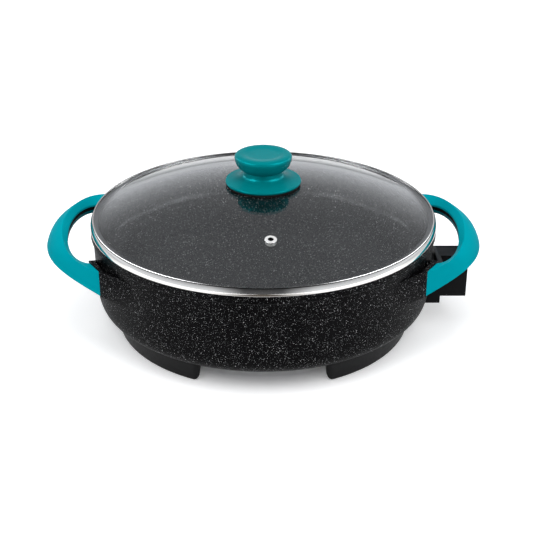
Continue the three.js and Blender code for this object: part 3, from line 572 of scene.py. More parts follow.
def metal(graph, base, rough, stretch=(1, 1, 1), scale=900):
    """Metal with a faint drawn grain"""
    mapping = graph.add("ShaderNodeMapping")
    mapping.inputs["Scale"].default_value = stretch
    graph.link(graph.place, mapping.inputs["Vector"])
    grain = graph.noise(scale, roughness=0.6, place=mapping.outputs["Vector"])
    drift = graph.spread(graph.noise(scale=30, detail=2))
    graph.colour(graph.mix(drift, shade(base, 0.93), base))
    graph.roughness(graph.spread(grain, *rough))
    graph.bump(grain, strength=0.03, distance=0.1 * MM)
    graph.set(Metallic=1.0)


def band_steel(graph, finish):
    metal(graph, finish.band, rough=(0.06, 0.12), stretch=(1, 1, 8), scale=500)


def eyelet_steel_painted_sheen(graph, finish):
    # Nearly white and partly matt: painted sheen that keeps the eyelet bright whatever it mirrors
    metal(graph, (0.97, 0.96, 0.94), rough=(0.3, 0.4))
    graph.set(Metallic=0.4)


def painted_shade_steel(graph, finish):
    # Dark steel: painted shade for the band's hem under the glass and the side of the eyelet's head
    metal(graph, (0.16, 0.16, 0.165), rough=(0.3, 0.4))


def sheet_steel(graph, finish):
    metal(graph, finish.steel, rough=(0.25, 0.4), stretch=(1, 6, 1), scale=700)


def screw_steel(graph, finish):
    metal(graph, shade(finish.steel, 1.05), rough=(0.2, 0.34))


def element_steel(graph, finish):
    metal(graph, shade(finish.steel, 0.5), rough=(0.35, 0.5))


def insert_brass(graph, finish):
    metal(graph, (0.7, 0.5, 0.2), rough=(0.2, 0.3))


def lid_glass(graph, finish):
    """Clear tempered glass, faintly clouded in its colour, that throws only a faint shadow"""
    smear = graph.ramp(graph.noise(scale=22, detail=4, roughness=0.6), 0.3, 0.8)
    graph.colour(graph.mix(smear, (0.985, 0.992, 0.99), (0.96, 0.975, 0.97)))
    graph.set(Transmission_Weight=1.0, IOR=1.5, Roughness=0.0)
    shadow = graph.add("ShaderNodeLightPath").outputs["Is Shadow Ray"]
    clear = graph.other_shader("ShaderNodeBsdfTransparent", (0.86, 0.87, 0.87))
    graph.surface(shadow, graph.shader.outputs["BSDF"], clear.outputs["BSDF"])


# Pan


def skirt_curve(pan):
    """Outer curve of the skirt, from the wall down to the lower edge"""
    start, lean_height, tuck_height = 50 * MM, 36 * MM, 31.5 * MM
    lean, tuck, hem = 0.5 * MM, 6 * MM, 1.2 * MM
    return curve(
        (pan.belly_radius, start),
        (pan.belly_radius - lean, lean_height),
        (pan.skirt_radius + tuck, tuck_height),
        (pan.skirt_radius, pan.skirt_height + hem),
        count=12,
    )


def pan_profile(pan):
    """Section of the pan: bowl, rim bead, wall, skirt and the hollow under the floor"""
    bead_height, bead_step = 7 * MM, 2.2 * MM
    bowl_fillet, hollow_fillet = 24 * MM, 6 * MM
    lip_round, bead_round, neck_round, hem_round = 1.2 * MM, 0.8 * MM, 1.5 * MM, 0.5 * MM
    hem = 1.2 * MM
    top, rim = pan.rim_height, pan.rim_radius
    bead = top - bead_height
    under = pan.floor_height - pan.floor
    skirt = skirt_curve(pan)
    return [
        (0, pan.floor_height, 0),
        (pan.bowl_radius, pan.floor_height, bowl_fillet),
        (pan.mouth_radius, top, lip_round),
        (rim, top, lip_round),
        (rim, bead, bead_round),
        (rim - bead_step, bead - bead_step, neck_round),
        *skirt,
        (pan.skirt_radius - hem, pan.skirt_height, hem_round),
        *[(radius - pan.skirt, height, 0) for radius, height, _ in reversed(skirt)],
        (pan.belly_radius - pan.skirt, under, hollow_fillet),
        (0, under, 0),
    ]


# Corner where the front left lug and the handle meet on the outside, in millimetres
HANDLE_END = (-161, -96.5)
LUG_WALL, LUG_END_WALL, LUG_FLOOR, LUG_RIB = 2.2 * MM, 5 * MM, 5 * MM, 1.6 * MM
LUG_RIB_SHARES = (0.4, 0.68)


def on_circle(radius, degrees):
    """Point on a circle about the middle of the pan"""
    return Matrix.Rotation(math.radians(degrees), 2) @ Vector((radius, 0))


def towards(direction, side):
    """Unit vector across a direction, on the side that another vector points to"""
    across = Vector((-direction.y, direction.x))
    return across if across.dot(side) > 0 else -across


def lug(pan):
    """Front left lug: an outer face that runs out along the wall, and three pockets between thin ribs"""
    tip_angle, blend_angle, wall_angles = 222.4, 228, (228, 222, 216, 210, 203.4)
    proud, sunk, kept_clear, pull, edge = 0.5 * MM, 2 * MM, 1 * MM, 28 * MM, 0.6 * MM
    outer, inner = Vector(HANDLE_END) * MM, Vector((-174.6, -71.4)) * MM
    blend = on_circle(pan.belly_radius + proud, blend_angle)
    control = blend + on_circle(pull, blend_angle - 90)
    face = interpolate_bezier(outer, outer.lerp(control, 2 / 3), blend.lerp(control, 2 / 3), blend, 13)
    in_wall = [on_circle(pan.belly_radius - sunk, angle) for angle in wall_angles]
    plan = [*[p.xy for p in face], *in_wall, inner]
    obj = mesh_object("lug", prism(plan, pan.lug_bottom, pan.lug_top))
    run, end = on_circle(pan.belly_radius, tip_angle) - outer, inner - outer
    reach, deep = run.length, end.length
    along, end = run.normalized(), end.normalized()
    across, into = towards(along, end), towards(end, along)
    corner = outer + along * (LUG_END_WALL / along.dot(into)) + end * (LUG_WALL / end.dot(across))
    floor, below, over, high_over = pan.lug_bottom + LUG_FLOOR, -20 * MM, pan.lug_top + 10 * MM, 180 * MM

    def on_wall(share, shift):
        return outer + across * LUG_WALL + along * (reach * share + shift)

    starts = [corner, *[on_wall(share, LUG_RIB / 2) for share in LUG_RIB_SHARES]]
    stops = [*[on_wall(share, -LUG_RIB / 2) for share in LUG_RIB_SHARES], on_wall(1, 0)]
    backs = [corner + end * deep, *[start + across * deep for start in starts[1:]]]
    pockets = [
        prism([start, stop, stop + across * deep, back], floor, over)
        for start, stop, back in zip(starts, stops, backs)
    ]
    rib_tops = prism([corner, stops[-1], stops[-1] + across * deep, backs[0]], pan.lug_top - LUG_RIB, over)
    pan_room = rod(pan.belly_radius - kept_clear, (0, 0, below), (0, 0, high_over), segments=160)
    cut(obj, [*pockets, rib_tops, pan_room])
    soften(obj, edge)
    # The pockets' floors get a darker black without specks: painted shade at the bottom of the pockets
    mark(obj, 1, lambda middle, normal: normal.z > 0.9 and middle.z < floor + LUG_FLOOR)
    return obj


def in_all_corners(obj):
    """Mirrors a front left piece to the other three corners"""
    bm = bmesh.new()
    bm.from_mesh(obj.data)
    for axis in "XY":
        bmesh.ops.mirror(bm, geom=bm.verts[:] + bm.edges[:] + bm.faces[:], axis=axis, merge_dist=0)
    bmesh.ops.recalc_face_normals(bm, faces=bm.faces[:])
    bm.to_mesh(obj.data)
    bm.free()


class SKILLET_OT_pan(Operator):
    """Turn the pan and add its four lugs"""

    bl_idname = "skillet.pan"
    bl_label = "Pan"

    def execute(self, context):
        pan = sizes().pan
        margin = 1 * MM
        body = mesh_object("pan_body", turned(pan_profile(pan), sizes().finish.turning_steps, closed=False))
        inner, low = pan.mouth_radius + margin / 2, pan.floor_height - margin
        mark(body, 1, lambda middle, normal: middle.xy.length < inner and middle.z > low)
        finish_piece(body, "pan", "base", [speckled_coating, bowl_coating_painted_light])
        lugs = lug(pan)
        lugs.name = "pan_lugs"
        in_all_corners(lugs)
        finish_piece(lugs, "pan", "base", [speckled_coating, painted_shade_pocket_black])
        return {"FINISHED"}


# Skids

SKID_HALF_ANGLE = math.radians(64.3)
SKID_TOE, SKID_TOE_SIDE, SKID_DRAFT = 8 * MM, 7 * MM, 1.2 * MM
SKID_INNER_EDGE, SKID_OUTER_EDGE = 1.6 * MM, 2.2 * MM
TOE_STEPS, SKID_STEPS, EDGE_STEPS = 10, 40, 4


def drawn_in(radius, distance):
    """How far a rounded end has drawn in at a distance from its tip"""
    left = max(radius - distance, 0)
    return radius - math.sqrt(radius * radius - left * left)


def skid_rings(pan, facing):
    """Sections of a skid from one rounded toe to the other; both ends lie on planes across X"""
    middle = pan.skid_radius - pan.skid_width / 2
    end_plane = middle * math.cos(SKID_HALF_ANGLE)
    toe = [SKID_TOE * (1 - math.cos(math.pi / 2 * i / TOE_STEPS)) for i in range(TOE_STEPS + 1)]
    near = [SKID_HALF_ANGLE - distance / pan.skid_radius for distance in toe]
    between = [near[-1] * (1 - 2 * i / SKID_STEPS) for i in range(1, SKID_STEPS)]
    rings = []
    for angle in [*near, *between, *[-a for a in reversed(near)]]:
        distance = (SKID_HALF_ANGLE - abs(angle)) * pan.skid_radius
        half = pan.skid_width / 2 - drawn_in(SKID_TOE_SIDE, distance)
        low = drawn_in(SKID_TOE, distance)
        inside, outside = middle - half, middle + half
        inner_middle = (inside + SKID_INNER_EDGE, low + SKID_INNER_EDGE)
        outer_middle = (outside - SKID_OUTER_EDGE, low + SKID_OUTER_EDGE)
        section = [
            (inside, pan.skid_height),
            *arc(inner_middle, SKID_INNER_EDGE, 180, 270, EDGE_STEPS),
            *arc(outer_middle, SKID_OUTER_EDGE, 270, 360, EDGE_STEPS),
            (outside + SKID_DRAFT, pan.skid_height),
        ]
        ring = []
        for radius, height in section:
            stretched = facing + angle * math.acos(end_plane / radius) / SKID_HALF_ANGLE
            ring.append((radius * math.cos(stretched), radius * math.sin(stretched), height))
        rings.append(ring)
    return rings


class SKILLET_OT_skids(Operator):
    """Loft both skids with their rounded toes and bore them for the screws"""

    bl_idname = "skillet.skids"
    bl_label = "Skids"

    def execute(self, context):
        head_bore, bolt_bore = 4.6 * MM, 2.4 * MM
        below, head_seat, above = -5 * MM, 7 * MM, 40 * MM
        for side, facing in (("right", 0), ("left", math.pi)):
            obj = mesh_object(f"skid_body_{side}", loft(skid_rings(sizes().pan, facing)))
            bores = []
            for end in ("front", "rear"):
                place = centre(f"skid_screw_{end}_{side}").xy
                bores.append(rod(head_bore, (*place, below), (*place, head_seat)))
                bores.append(rod(bolt_bore, (*place, 0), (*place, above)))
            cut(obj, bores)
            finish_piece(obj, f"skid_{side}", "base", [skid_black])
        return {"FINISHED"}


# Handles

RAILS = {
    # Front half of the left handle's rails in millimetres: its end at the lug, the pull of the curve there,
    # the middle of the handle, and how far from it the curve runs level
    "outer": ((*HANDLE_END, 70.3), (-198.5, -89, 91.2), (-226.7, 0, 91.8), 58.3),
    "ridge": ((*HANDLE_END, 97.8), (-205, -94.7, 109), (-209.3, 0, 112), 15.5),
    "inner": ((-173.3, -73.8, 95.6), (-198, -76, 99.5), (-203.4, 0, 106), 27.3),
}
RAIL_POINTS, SKIN_POINTS = 30, 9
CORNER_SHARE, SHOULDER_SHARE = 0.16, 0.58
GRIP_WALL, GRIP_LIP = 3 * MM, 2.2 * MM
INSERT_GAP, INSERT_BACK_GAP = 0.6 * MM, 0.8 * MM
# Depths of the insert's back under the inner rail: its foot, the lower edge of the painted seam shadow and
# its top
INSERT_DEPTHS = (9.5 * MM, 6.2 * MM, 3.6 * MM)


def rail(name):
    """Points along a whole rail of the left handle, from its front end to its rear end"""
    end, leave, middle, level_reach = RAILS[name]
    level = Vector((middle[0], -level_reach, middle[2]))
    half = interpolate_bezier(Vector(end), Vector(leave), level, Vector(middle), RAIL_POINTS)
    rest = [Vector((p.x, -p.y, p.z)) for p in reversed(half[:-1])]
    return [p * MM for p in half + rest]


def handle_rings():
    """Sections of the grip and of its insert all along the loop"""
    grips, inserts = [], []
    for outer, ridge, inner in zip(rail("outer"), rail("ridge"), rail("inner")):
        inward = Vector((inner.x - outer.x, inner.y - outer.y, 0)).normalized()
        corner = Vector((outer.x, outer.y, ridge.z + (outer.z - ridge.z) * CORNER_SHARE))
        shoulder = ((outer + ridge) / 2).lerp(corner, SHOULDER_SHARE)
        # A quadratic curve drawn to the shoulder, written as a cubic one
        out, back = outer.lerp(shoulder, 2 / 3), ridge.lerp(shoulder, 2 / 3)
        skin = interpolate_bezier(outer, out, back, ridge, SKIN_POINTS)
        lining = []
        for i, point in enumerate(skin):
            rise = i / (len(skin) - 1)
            lining.append(point + inward * GRIP_WALL * (1 - rise / 2) - Vector((0, 0, GRIP_WALL * rise)))
        lip = inner - Vector((0, 0, GRIP_LIP))
        grips.append([*skin, inner, lip, *reversed(lining)])
        back_face = inner - inward * INSERT_BACK_GAP
        core = [point + inward * INSERT_GAP for point in lining[:-1]]
        inserts.append([*reversed(core), *[back_face - Vector((0, 0, depth)) for depth in INSERT_DEPTHS]])
    return {"grip": grips, "insert": inserts}


def paint_seam_shadow(obj, ring_points):
    """Paints the insert's top and the strip of its back just below, in the gap under the grip's lip, black: a
    painted shadow of the gap
    """
    for face in obj.data.polygons:
        if all(index % ring_points in (0, ring_points - 1, ring_points - 2) for index in face.vertices):
            face.material_index = 1


class SKILLET_OT_handles(Operator):
    """Loft both handle grips and the inserts under them"""

    bl_idname = "skillet.handles"
    bl_label = "Handles"

    def execute(self, context):
        looks = {"grip": [handle_teal], "insert": [painted_shade_insert_teal, painted_shade_black]}
        for kind, rings in handle_rings().items():
            for side, flip in (("left", 1), ("right", -1)):
                bm = loft(rings)
                bmesh.ops.scale(bm, vec=(flip, 1, 1), verts=bm.verts[:])
                bmesh.ops.recalc_face_normals(bm, faces=bm.faces[:])
                obj = mesh_object(f"handle_{kind}_{side}_body", bm)
                if kind == "insert":
                    paint_seam_shadow(obj, len(rings[0]))
                soften(obj, width=0.4 * MM, angle=28)
                finish_piece(obj, f"handle_{kind}_{side}", "base", looks[kind], smooth=16)
        return {"FINISHED"}


# Socket and underside


def shroud_bores():
    """Bores of the shroud for the probe, the pins and the screws"""
    start, end = 160 * MM, 200 * MM
    probe_bore, pin_bore, screw_bore = 5.7 * MM, 3.1 * MM, 2.4 * MM
    bores = []
    for radius, node in (
        (probe_bore, "probe_sleeve"),
        (pin_bore, "terminal_pin_front"),
        (screw_bore, "shroud_screw_front"),
        (pin_bore, "terminal_pin_rear"),
        (screw_bore, "shroud_screw_rear"),
    ):
        place = centre(node).yz
        bores.append(rod(radius, (start, *place), (end, *place)))
    return bores


def pan_envelope():
    """Solid a little larger than the pan's skirt and wall, which the shroud is cut with"""
    pan = sizes().pan
    clear, top = 0.7 * MM, 120 * MM
    section = [
        (0, 0, 0),
        (pan.skirt_radius + clear, 0, 0),
        *[(radius + clear, height, 0) for radius, height, _ in reversed(skirt_curve(pan))],
        (pan.belly_radius + clear, top, 0),
        (0, top, 0),
    ]
    return turned(section, sizes().finish.turning_steps, closed=False)


class SKILLET_OT_socket(Operator):
    """Make the shroud of the socket and dress the pins, the probe sleeve and the plate behind it"""

    bl_idname = "skillet.socket"
    bl_label = "Socket"

    def execute(self, context):
        socket = sizes().socket
        wall, half, end = socket.wall, socket.hood_width / 2, socket.hood_end
        top, foot = SHROUD_HIGH.z, SHROUD_LOW.z
        hood_foot, block_top = top - socket.hood_height, 60 * MM
        block_start, hood_start, block_end, behind = 165 * MM, 184.4 * MM, 187 * MM, 160 * MM
        panel_border, panel_depth, over, margin = 1.8 * MM, 1.4 * MM, 11.5 * MM, 0.1 * MM
        slot_low, slot_high = (190 * MM, -14 * MM, 55 * MM), (201 * MM, 3 * MM, top + over)
        hood_round, block_round, mouth_round = 3.2 * MM, 2.2 * MM, 2 * MM
        inner, panel_half = half - wall, half - panel_border
        hood = bar((hood_start, -half, hood_foot), (end, half, top), hood_round, segments=5)
        block = bar((block_start, -half, foot), (block_end, half, block_top), block_round)
        mouth = bar((block_end, -inner, hood_foot + wall), (end + over, inner, top - wall), mouth_round)
        hollow = bar((behind, -inner, foot + wall), (hood_start, inner, block_top - wall))
        panel_low = (block_end, -panel_half, top - panel_depth)
        panel = bar(panel_low, (end - panel_border, panel_half, top + over))
        slot = bar(slot_low, slot_high)
        obj = mesh_object("socket_shroud_body", hood)
        cut(obj, [block], "UNION")
        cut(obj, [mouth, hollow, panel, slot, pan_envelope(), *shroud_bores()])
        soften(obj, width=0.5 * MM, angle=40)
        # Upward faces at the top, the panel and its border, get the lighter black: painted light where the
        # light falls on the hood
        mark(obj, 1, lambda middle, normal: normal.z > 0.9 and middle.z > top - panel_depth - margin)
        finish_piece(obj, "socket_shroud", "base", [shroud_black, painted_light_shroud_top])
        keep_nodes(("socket_plate", "probe_sleeve", "terminal_pin_front", "terminal_pin_rear"), sheet_steel)
        keep_nodes(("terminal_bush_front", "terminal_bush_rear"), bush_ceramic)
        return {"FINISHED"}


class SKILLET_OT_underside(Operator):
    """Dress the base plate, the heating element and the screws"""

    bl_idname = "skillet.underside"
    bl_label = "Underside and screws"

    def execute(self, context):
        keep_nodes(["base_plate"], sheet_steel)
        keep_nodes(["heating_element"], element_steel)
        keep_nodes([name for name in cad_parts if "screw" in name or name == "knob_washer"], screw_steel)
        return {"FINISHED"}


# Lid


def dome_radius():
    """Radius of the sphere that the dome's top is part of"""
    lid = sizes().lid
    return (lid.flange_radius**2 + lid.dome_rise**2) / (2 * lid.dome_rise)


def dome_height(radius, below=0.0):
    """Height of the dome at a distance from the axis, on its top or a depth below it"""
    lid = sizes().lid
    middle = lid.flange_height + lid.dome_rise - dome_radius()
    return middle + math.sqrt((dome_radius() - below) ** 2 - radius**2)


class SKILLET_OT_glass(Operator):
    """Turn the domed glass of the lid"""

    bl_idname = "skillet.glass"
    bl_label = "Lid glass"

    def execute(self, context):
        lid = sizes().lid
        hole, edge_gap, edge_round, fillet, count = 4.2 * MM, 3.2 * MM, 0.7 * MM, 12 * MM, 24
        flange, thickness = lid.flange_height, lid.glass_thickness
        base, edge = flange - thickness, lid.band_radius - edge_gap
        radii = [hole + (lid.flange_radius - hole) * i / count for i in range(count)]
        section = [
            *[(radius, dome_height(radius), 0) for radius in radii],
            (lid.flange_radius, flange, fillet),
            (edge, flange, edge_round),
            (edge, base, edge_round),
            (lid.flange_radius, base, fillet),
            *[(radius, dome_height(radius, thickness), 0) for radius in reversed(radii)],
        ]
        obj = mesh_object("lid_dome", turned(section, sizes().finish.turning_steps))
        finish_piece(obj, "lid_glass", "lid", [lid_glass], smooth=60)
        return {"FINISHED"}


class SKILLET_OT_band(Operator):
    """Turn the polished band that holds the glass"""

    bl_idname = "skillet.band"
    bl_label = "Lid band"

    def execute(self, context):
        lid, rim = sizes().lid, sizes().pan.rim_height
        out, spigot = lid.band_radius, lid.spigot_radius
        sheet, lip_radius, lip_drop, lip_edge = 1 * MM, 176.4 * MM, 0.3 * MM, 0.9 * MM
        spigot_round, seat_round, lip_round, hem_round = 0.3 * MM, 0.6 * MM, 0.15 * MM, 0.4 * MM
        # Radii, from the outside inwards
        roll_foot, tuck, inner_wall, roll_end = out - 0.3 * MM, out - 0.7 * MM, out - 1.6 * MM, out - 2.2 * MM
        groove_outer, groove_inner, groove_side = out - 2.25 * MM, out - 2.65 * MM, out - 2.7 * MM
        fold, inner_top, inner_fold = out - 2.9 * MM, out - 3 * MM, out - 3.1 * MM
        # Heights, from the foot of the spigot upwards
        foot, seat, hem = rim - 5 * MM, rim + 0.3 * MM, rim + 2.7 * MM
        roll_low, widest = rim + 0.5 * MM, rim + 1.2 * MM
        inner_low, roll_high, inner_high = rim + 4 * MM, rim + 4.6 * MM, rim + 5.6 * MM
        groove_low, roll_top, groove_high, top = rim + 6.8 * MM, rim + 7.2 * MM, rim + 8 * MM, rim + 8.2 * MM
        section = [
            (spigot - sheet, foot, 0),
            (spigot, foot, spigot_round),
            (spigot, seat, seat_round),
            (tuck, seat, 0),
            *curve((roll_foot, roll_low), (out, widest), (tuck, roll_high), (roll_end, roll_top), count=14),
            (groove_outer, groove_low, 0),
            (groove_inner, groove_low, 0),
            (groove_side, groove_high, 0),
            (fold, top, 0),
            (lip_radius, top - lip_drop, lip_round),
            (lip_radius, top - lip_edge, 0),
            (inner_fold, top - lip_edge, 0),
            (inner_top, inner_high, 0),
            (inner_wall, inner_low, 0),
            (inner_wall, hem, 0),
            (spigot - sheet, hem, hem_round),
        ]
        obj = mesh_object("lid_rim", turned(section, sizes().finish.turning_steps))
        groove, half_width, half_height = (groove_outer + groove_inner) / 2, 0.3 * MM, 0.6 * MM
        hem_edge, margin = out - 1.2 * MM, 0.1 * MM

        def in_groove(middle, normal):
            return abs(middle.xy.length - groove) < half_width and abs(middle.z - roll_top) < half_height

        def in_hem(middle, normal):
            return middle.xy.length < hem_edge and middle.z < hem + margin

        # The groove's faces get near black: painted shade for the dark line along the polished roll
        mark(obj, 1, in_groove)
        # The spigot and the hem under the glass get dark steel: painted shade
        mark(obj, 2, in_hem)
        finish_piece(obj, "lid_band", "lid", [band_steel, painted_shade_black, painted_shade_steel], smooth=40)
        return {"FINISHED"}


KNOB_STEPS, EYELET_STEPS = 96, 48
GASKET_INNER, GASKET_GAP = 30 * MM, 0.3 * MM


def knob_foot():
    """Height of the knob's foot, over the gasket that lies on the dome"""
    gasket = 1.3 * MM
    return dome_height(sizes().lid.gasket_radius) + gasket + 2 * GASKET_GAP


def knob_profile(lid):
    """Section of the knob over its foot: the hollow under it, the flared base, the neck and the dished cap"""
    base, neck, cap, top = lid.knob_radius, lid.neck_radius, lid.cap_radius, lid.knob_height
    insert_bore, insert_top, boss, boss_foot = 5.3 * MM, 14.5 * MM, 9 * MM, 1.2 * MM
    hollow_edge, hollow_height, hollow_top = 27.6 * MM, 2.9 * MM, 3.6 * MM
    base_edge, base_lip, base_round, flare_foot = 0.8 * MM, 1.4 * MM, 0.6 * MM, 2.9 * MM
    neck_low, neck_high, cap_side, cap_edge = 12.6 * MM, 13.4 * MM, 27 * MM, 24.5 * MM
    dish, dish_height, middle_height = 13 * MM, 29.8 * MM, 29.7 * MM
    flare_pulls = (26 * MM, 4 * MM), (neck + 0.6 * MM, 7 * MM)
    cap_pulls = (23 * MM, 15.6 * MM), (cap - 1 * MM, 17 * MM)
    shoulder_pulls = (cap, top - 1.6 * MM), (cap - 1.8 * MM, top - 0.2 * MM)
    dish_pulls = (18.5 * MM, top), (19.5 * MM, dish_height + 0.1 * MM)
    return [
        (0, insert_top, 0),
        (insert_bore, insert_top, 0),
        (insert_bore, boss_foot, 0),
        (boss, boss_foot, 0),
        (boss, hollow_top, 0),
        (hollow_edge, hollow_height, 0),
        (GASKET_INNER, 0, 0),
        (base - base_edge, 0, 0),
        (base, base_lip, base_round),
        *curve((base - base_edge, flare_foot), *flare_pulls, (neck, neck_low), count=14),
        *curve((neck, neck_high), *cap_pulls, (cap, cap_side), count=14),
        *curve((cap, cap_side), *shoulder_pulls, (cap_edge, top), count=8)[1:],
        *curve((cap_edge, top), *dish_pulls, (dish, dish_height), count=12)[1:],
        (0, middle_height, 0),
    ]


class SKILLET_OT_knob(Operator):
    """Turn the knob and its gasket and dress the fixing under it"""

    bl_idname = "skillet.knob"
    bl_label = "Knob"

    def execute(self, context):
        lid, foot = sizes().lid, knob_foot()
        corners = [(radius, foot + height, rounding) for radius, height, rounding in knob_profile(lid)]
        obj = mesh_object("knob_body", turned(corners, KNOB_STEPS, closed=False))
        finish_piece(obj, "knob", "lid", [knob_teal], smooth=40)
        outer, top, top_round = lid.gasket_radius, foot - GASKET_GAP, 0.2 * MM
        section = [
            (GASKET_INNER, dome_height(GASKET_INNER) + GASKET_GAP, 0),
            (outer, dome_height(outer) + GASKET_GAP, 0),
            (outer, top, top_round),
            (GASKET_INNER, top, 0),
        ]
        obj = mesh_object("knob_seal", turned(section, KNOB_STEPS))
        finish_piece(obj, "knob_gasket", "lid", [gasket_black])
        keep_nodes(["knob_insert"], insert_brass)
        return {"FINISHED"}


class SKILLET_OT_eyelet(Operator):
    """Turn the eyelet of the steam vent and lean it to the dome"""

    bl_idname = "skillet.eyelet"
    bl_label = "Vent eyelet"

    def execute(self, context):
        lid = sizes().lid
        bore, neck, clinch, head = 2.5 * MM, 3.7 * MM, 5.4 * MM, 5.9 * MM
        under, clinch_sheet, head_under, head_top = -4.6 * MM, 0.9 * MM, 0.3 * MM, 1.5 * MM
        mouth, mouth_depth, to_the_right = 0.3 * MM, 0.4 * MM, math.radians(3.7)
        bore_round, edge_round, mouth_round = 0.3 * MM, 0.4 * MM, 0.1 * MM
        section = [
            (bore, under - clinch_sheet, bore_round),
            (clinch, under - clinch_sheet, edge_round),
            (clinch, under, 0),
            (neck, under, 0),
            (neck, head_under, 0),
            (head, head_under, 0),
            (head, head_top, edge_round),
            (bore + mouth, head_top, mouth_round),
            (bore, head_top - mouth_depth, 0),
        ]
        obj = mesh_object("vent_grommet", turned(section, EYELET_STEPS))
        hole, rim, rim_top = bore + 0.2 * MM, head - 0.1 * MM, head_top - 0.5 * MM
        # The bore gets near black: painted shade down the hole
        mark(obj, 1, lambda middle, normal: middle.xy.length < hole and middle.z > under)
        # The side of the head below its top gets dark steel: painted shade under the rim
        mark(obj, 2, lambda middle, normal: middle.xy.length > rim and middle.z < rim_top)
        aside = Matrix.Rotation(to_the_right, 4, "Z")
        place = Matrix.Translation((0, -lid.vent_circle, dome_height(lid.vent_circle)))
        lean = Matrix.Rotation(math.asin(lid.vent_circle / dome_radius()), 4, "X")
        obj.data.transform(aside @ place @ lean)
        looks = [eyelet_steel_painted_sheen, painted_shade_black, painted_shade_steel]
        finish_piece(obj, "vent_eyelet", "lid", looks, smooth=50)
        return {"FINISHED"}


# Stage

LAMPS = (
    # name, place, width, power
    ("softbox over", (0, -0.3, 1.8), 1.1, 10),
    ("softbox front left", (-1.0, -1.35, 1.8), 0.9, 11.5),
    ("softbox front right", (1.0, -1.35, 1.8), 0.9, 11.5),
    ("softbox back", (0.2, 1.7, 1.6), 1.2, 5),
)
LAMP_TARGET = (0, 0, 0.08)
CAMERA_PLACE, CAMERA_ELEVATION, CAMERA_LENS = (0.0033, -1.0765, 0.5858), 26.22, 75.53
FLOOR_HALF_WIDTH = 6


def area_lamp(name, place, width, power):
    """Soft lamp that lights the pieces but doesn't show in what mirrors or refracts it"""
    lamp = bpy.data.lights.new(name, "AREA")
    lamp.energy = power
    lamp.size = width
    obj = bpy.data.objects.new(name, lamp)
    bpy.context.scene.collection.objects.link(obj)
    obj.location = place
    obj.rotation_euler = (Vector(LAMP_TARGET) - Vector(place)).to_track_quat("-Z", "Y").to_euler()
    obj.visible_glossy = False
    obj.visible_transmission = False


def white_floor():
    """Matt white floor. To the camera it glows, less under the pan and more far off, so that it clips to
    white and keeps the shadow; the weaker glow under the pan paints more shadow there. Glass and gloss see
    the same glow in front of the pan, and gloss sees a painted reflection of a dark card lying further
    forward"""
    painted_shadow_glow, around_pan, far_off = 0.06, 0.46, 0.6
    found = bpy.data.materials.new("white floor")
    graph = Graph(found)
    graph.set(Roughness=0.9, Specular_IOR_Level=0.0)
    drift = graph.spread(graph.noise(scale=3, detail=2))
    graph.colour(graph.mix(drift, (0.9, 0.9, 0.9), (0.915, 0.915, 0.915)))
    path = graph.add("ShaderNodeLightPath").outputs
    x, y, _ = graph.axes()
    mirrored = graph.math("MAXIMUM", path["Is Glossy Ray"], path["Is Transmission Ray"])
    mirrored = graph.product(mirrored, graph.ramp(y, -0.1, 0.2, 1, 0))
    seen = graph.math("MAXIMUM", mirrored, path["Is Camera Ray"])
    distance = graph.add("ShaderNodeVectorMath", operation="LENGTH")
    graph.link(graph.place, distance.inputs[0])
    away = distance.outputs["Value"]
    # Weaker glow near the middle: painted shadow round the pan's foot
    near = graph.ramp(away, 0.132, 0.166, painted_shadow_glow, around_pan)
    level = graph.math("ADD", near, graph.ramp(away, 1, 3, 0, far_off))
    glow = graph.other_shader("ShaderNodeEmission", (1, 1, 1))
    graph.link(graph.product(seen, level), glow.inputs["Strength"])
    both = graph.add("ShaderNodeAddShader")
    graph.link(graph.shader.outputs["BSDF"], both.inputs[0])
    graph.link(glow.outputs["Emission"], both.inputs[1])
    # Dark card that only gloss sees: a painted reflection
    card_half_width = graph.ramp(y, -1.3, -0.3, 0.5, 0.16)
    aside = graph.math("DIVIDE", graph.math("ABSOLUTE", x), card_half_width)
    on_card = graph.product(graph.ramp(aside, 0.3, 1.2, 1, 0), graph.ramp(y, -0.32, -0.27, 1, 0))
    card = graph.other_shader("ShaderNodeEmission", (0.13, 0.115, 0.1))
    shown = graph.product(on_card, path["Is Glossy Ray"])
    graph.surface(shown, both.outputs["Shader"], card.outputs["Emission"])
    return found


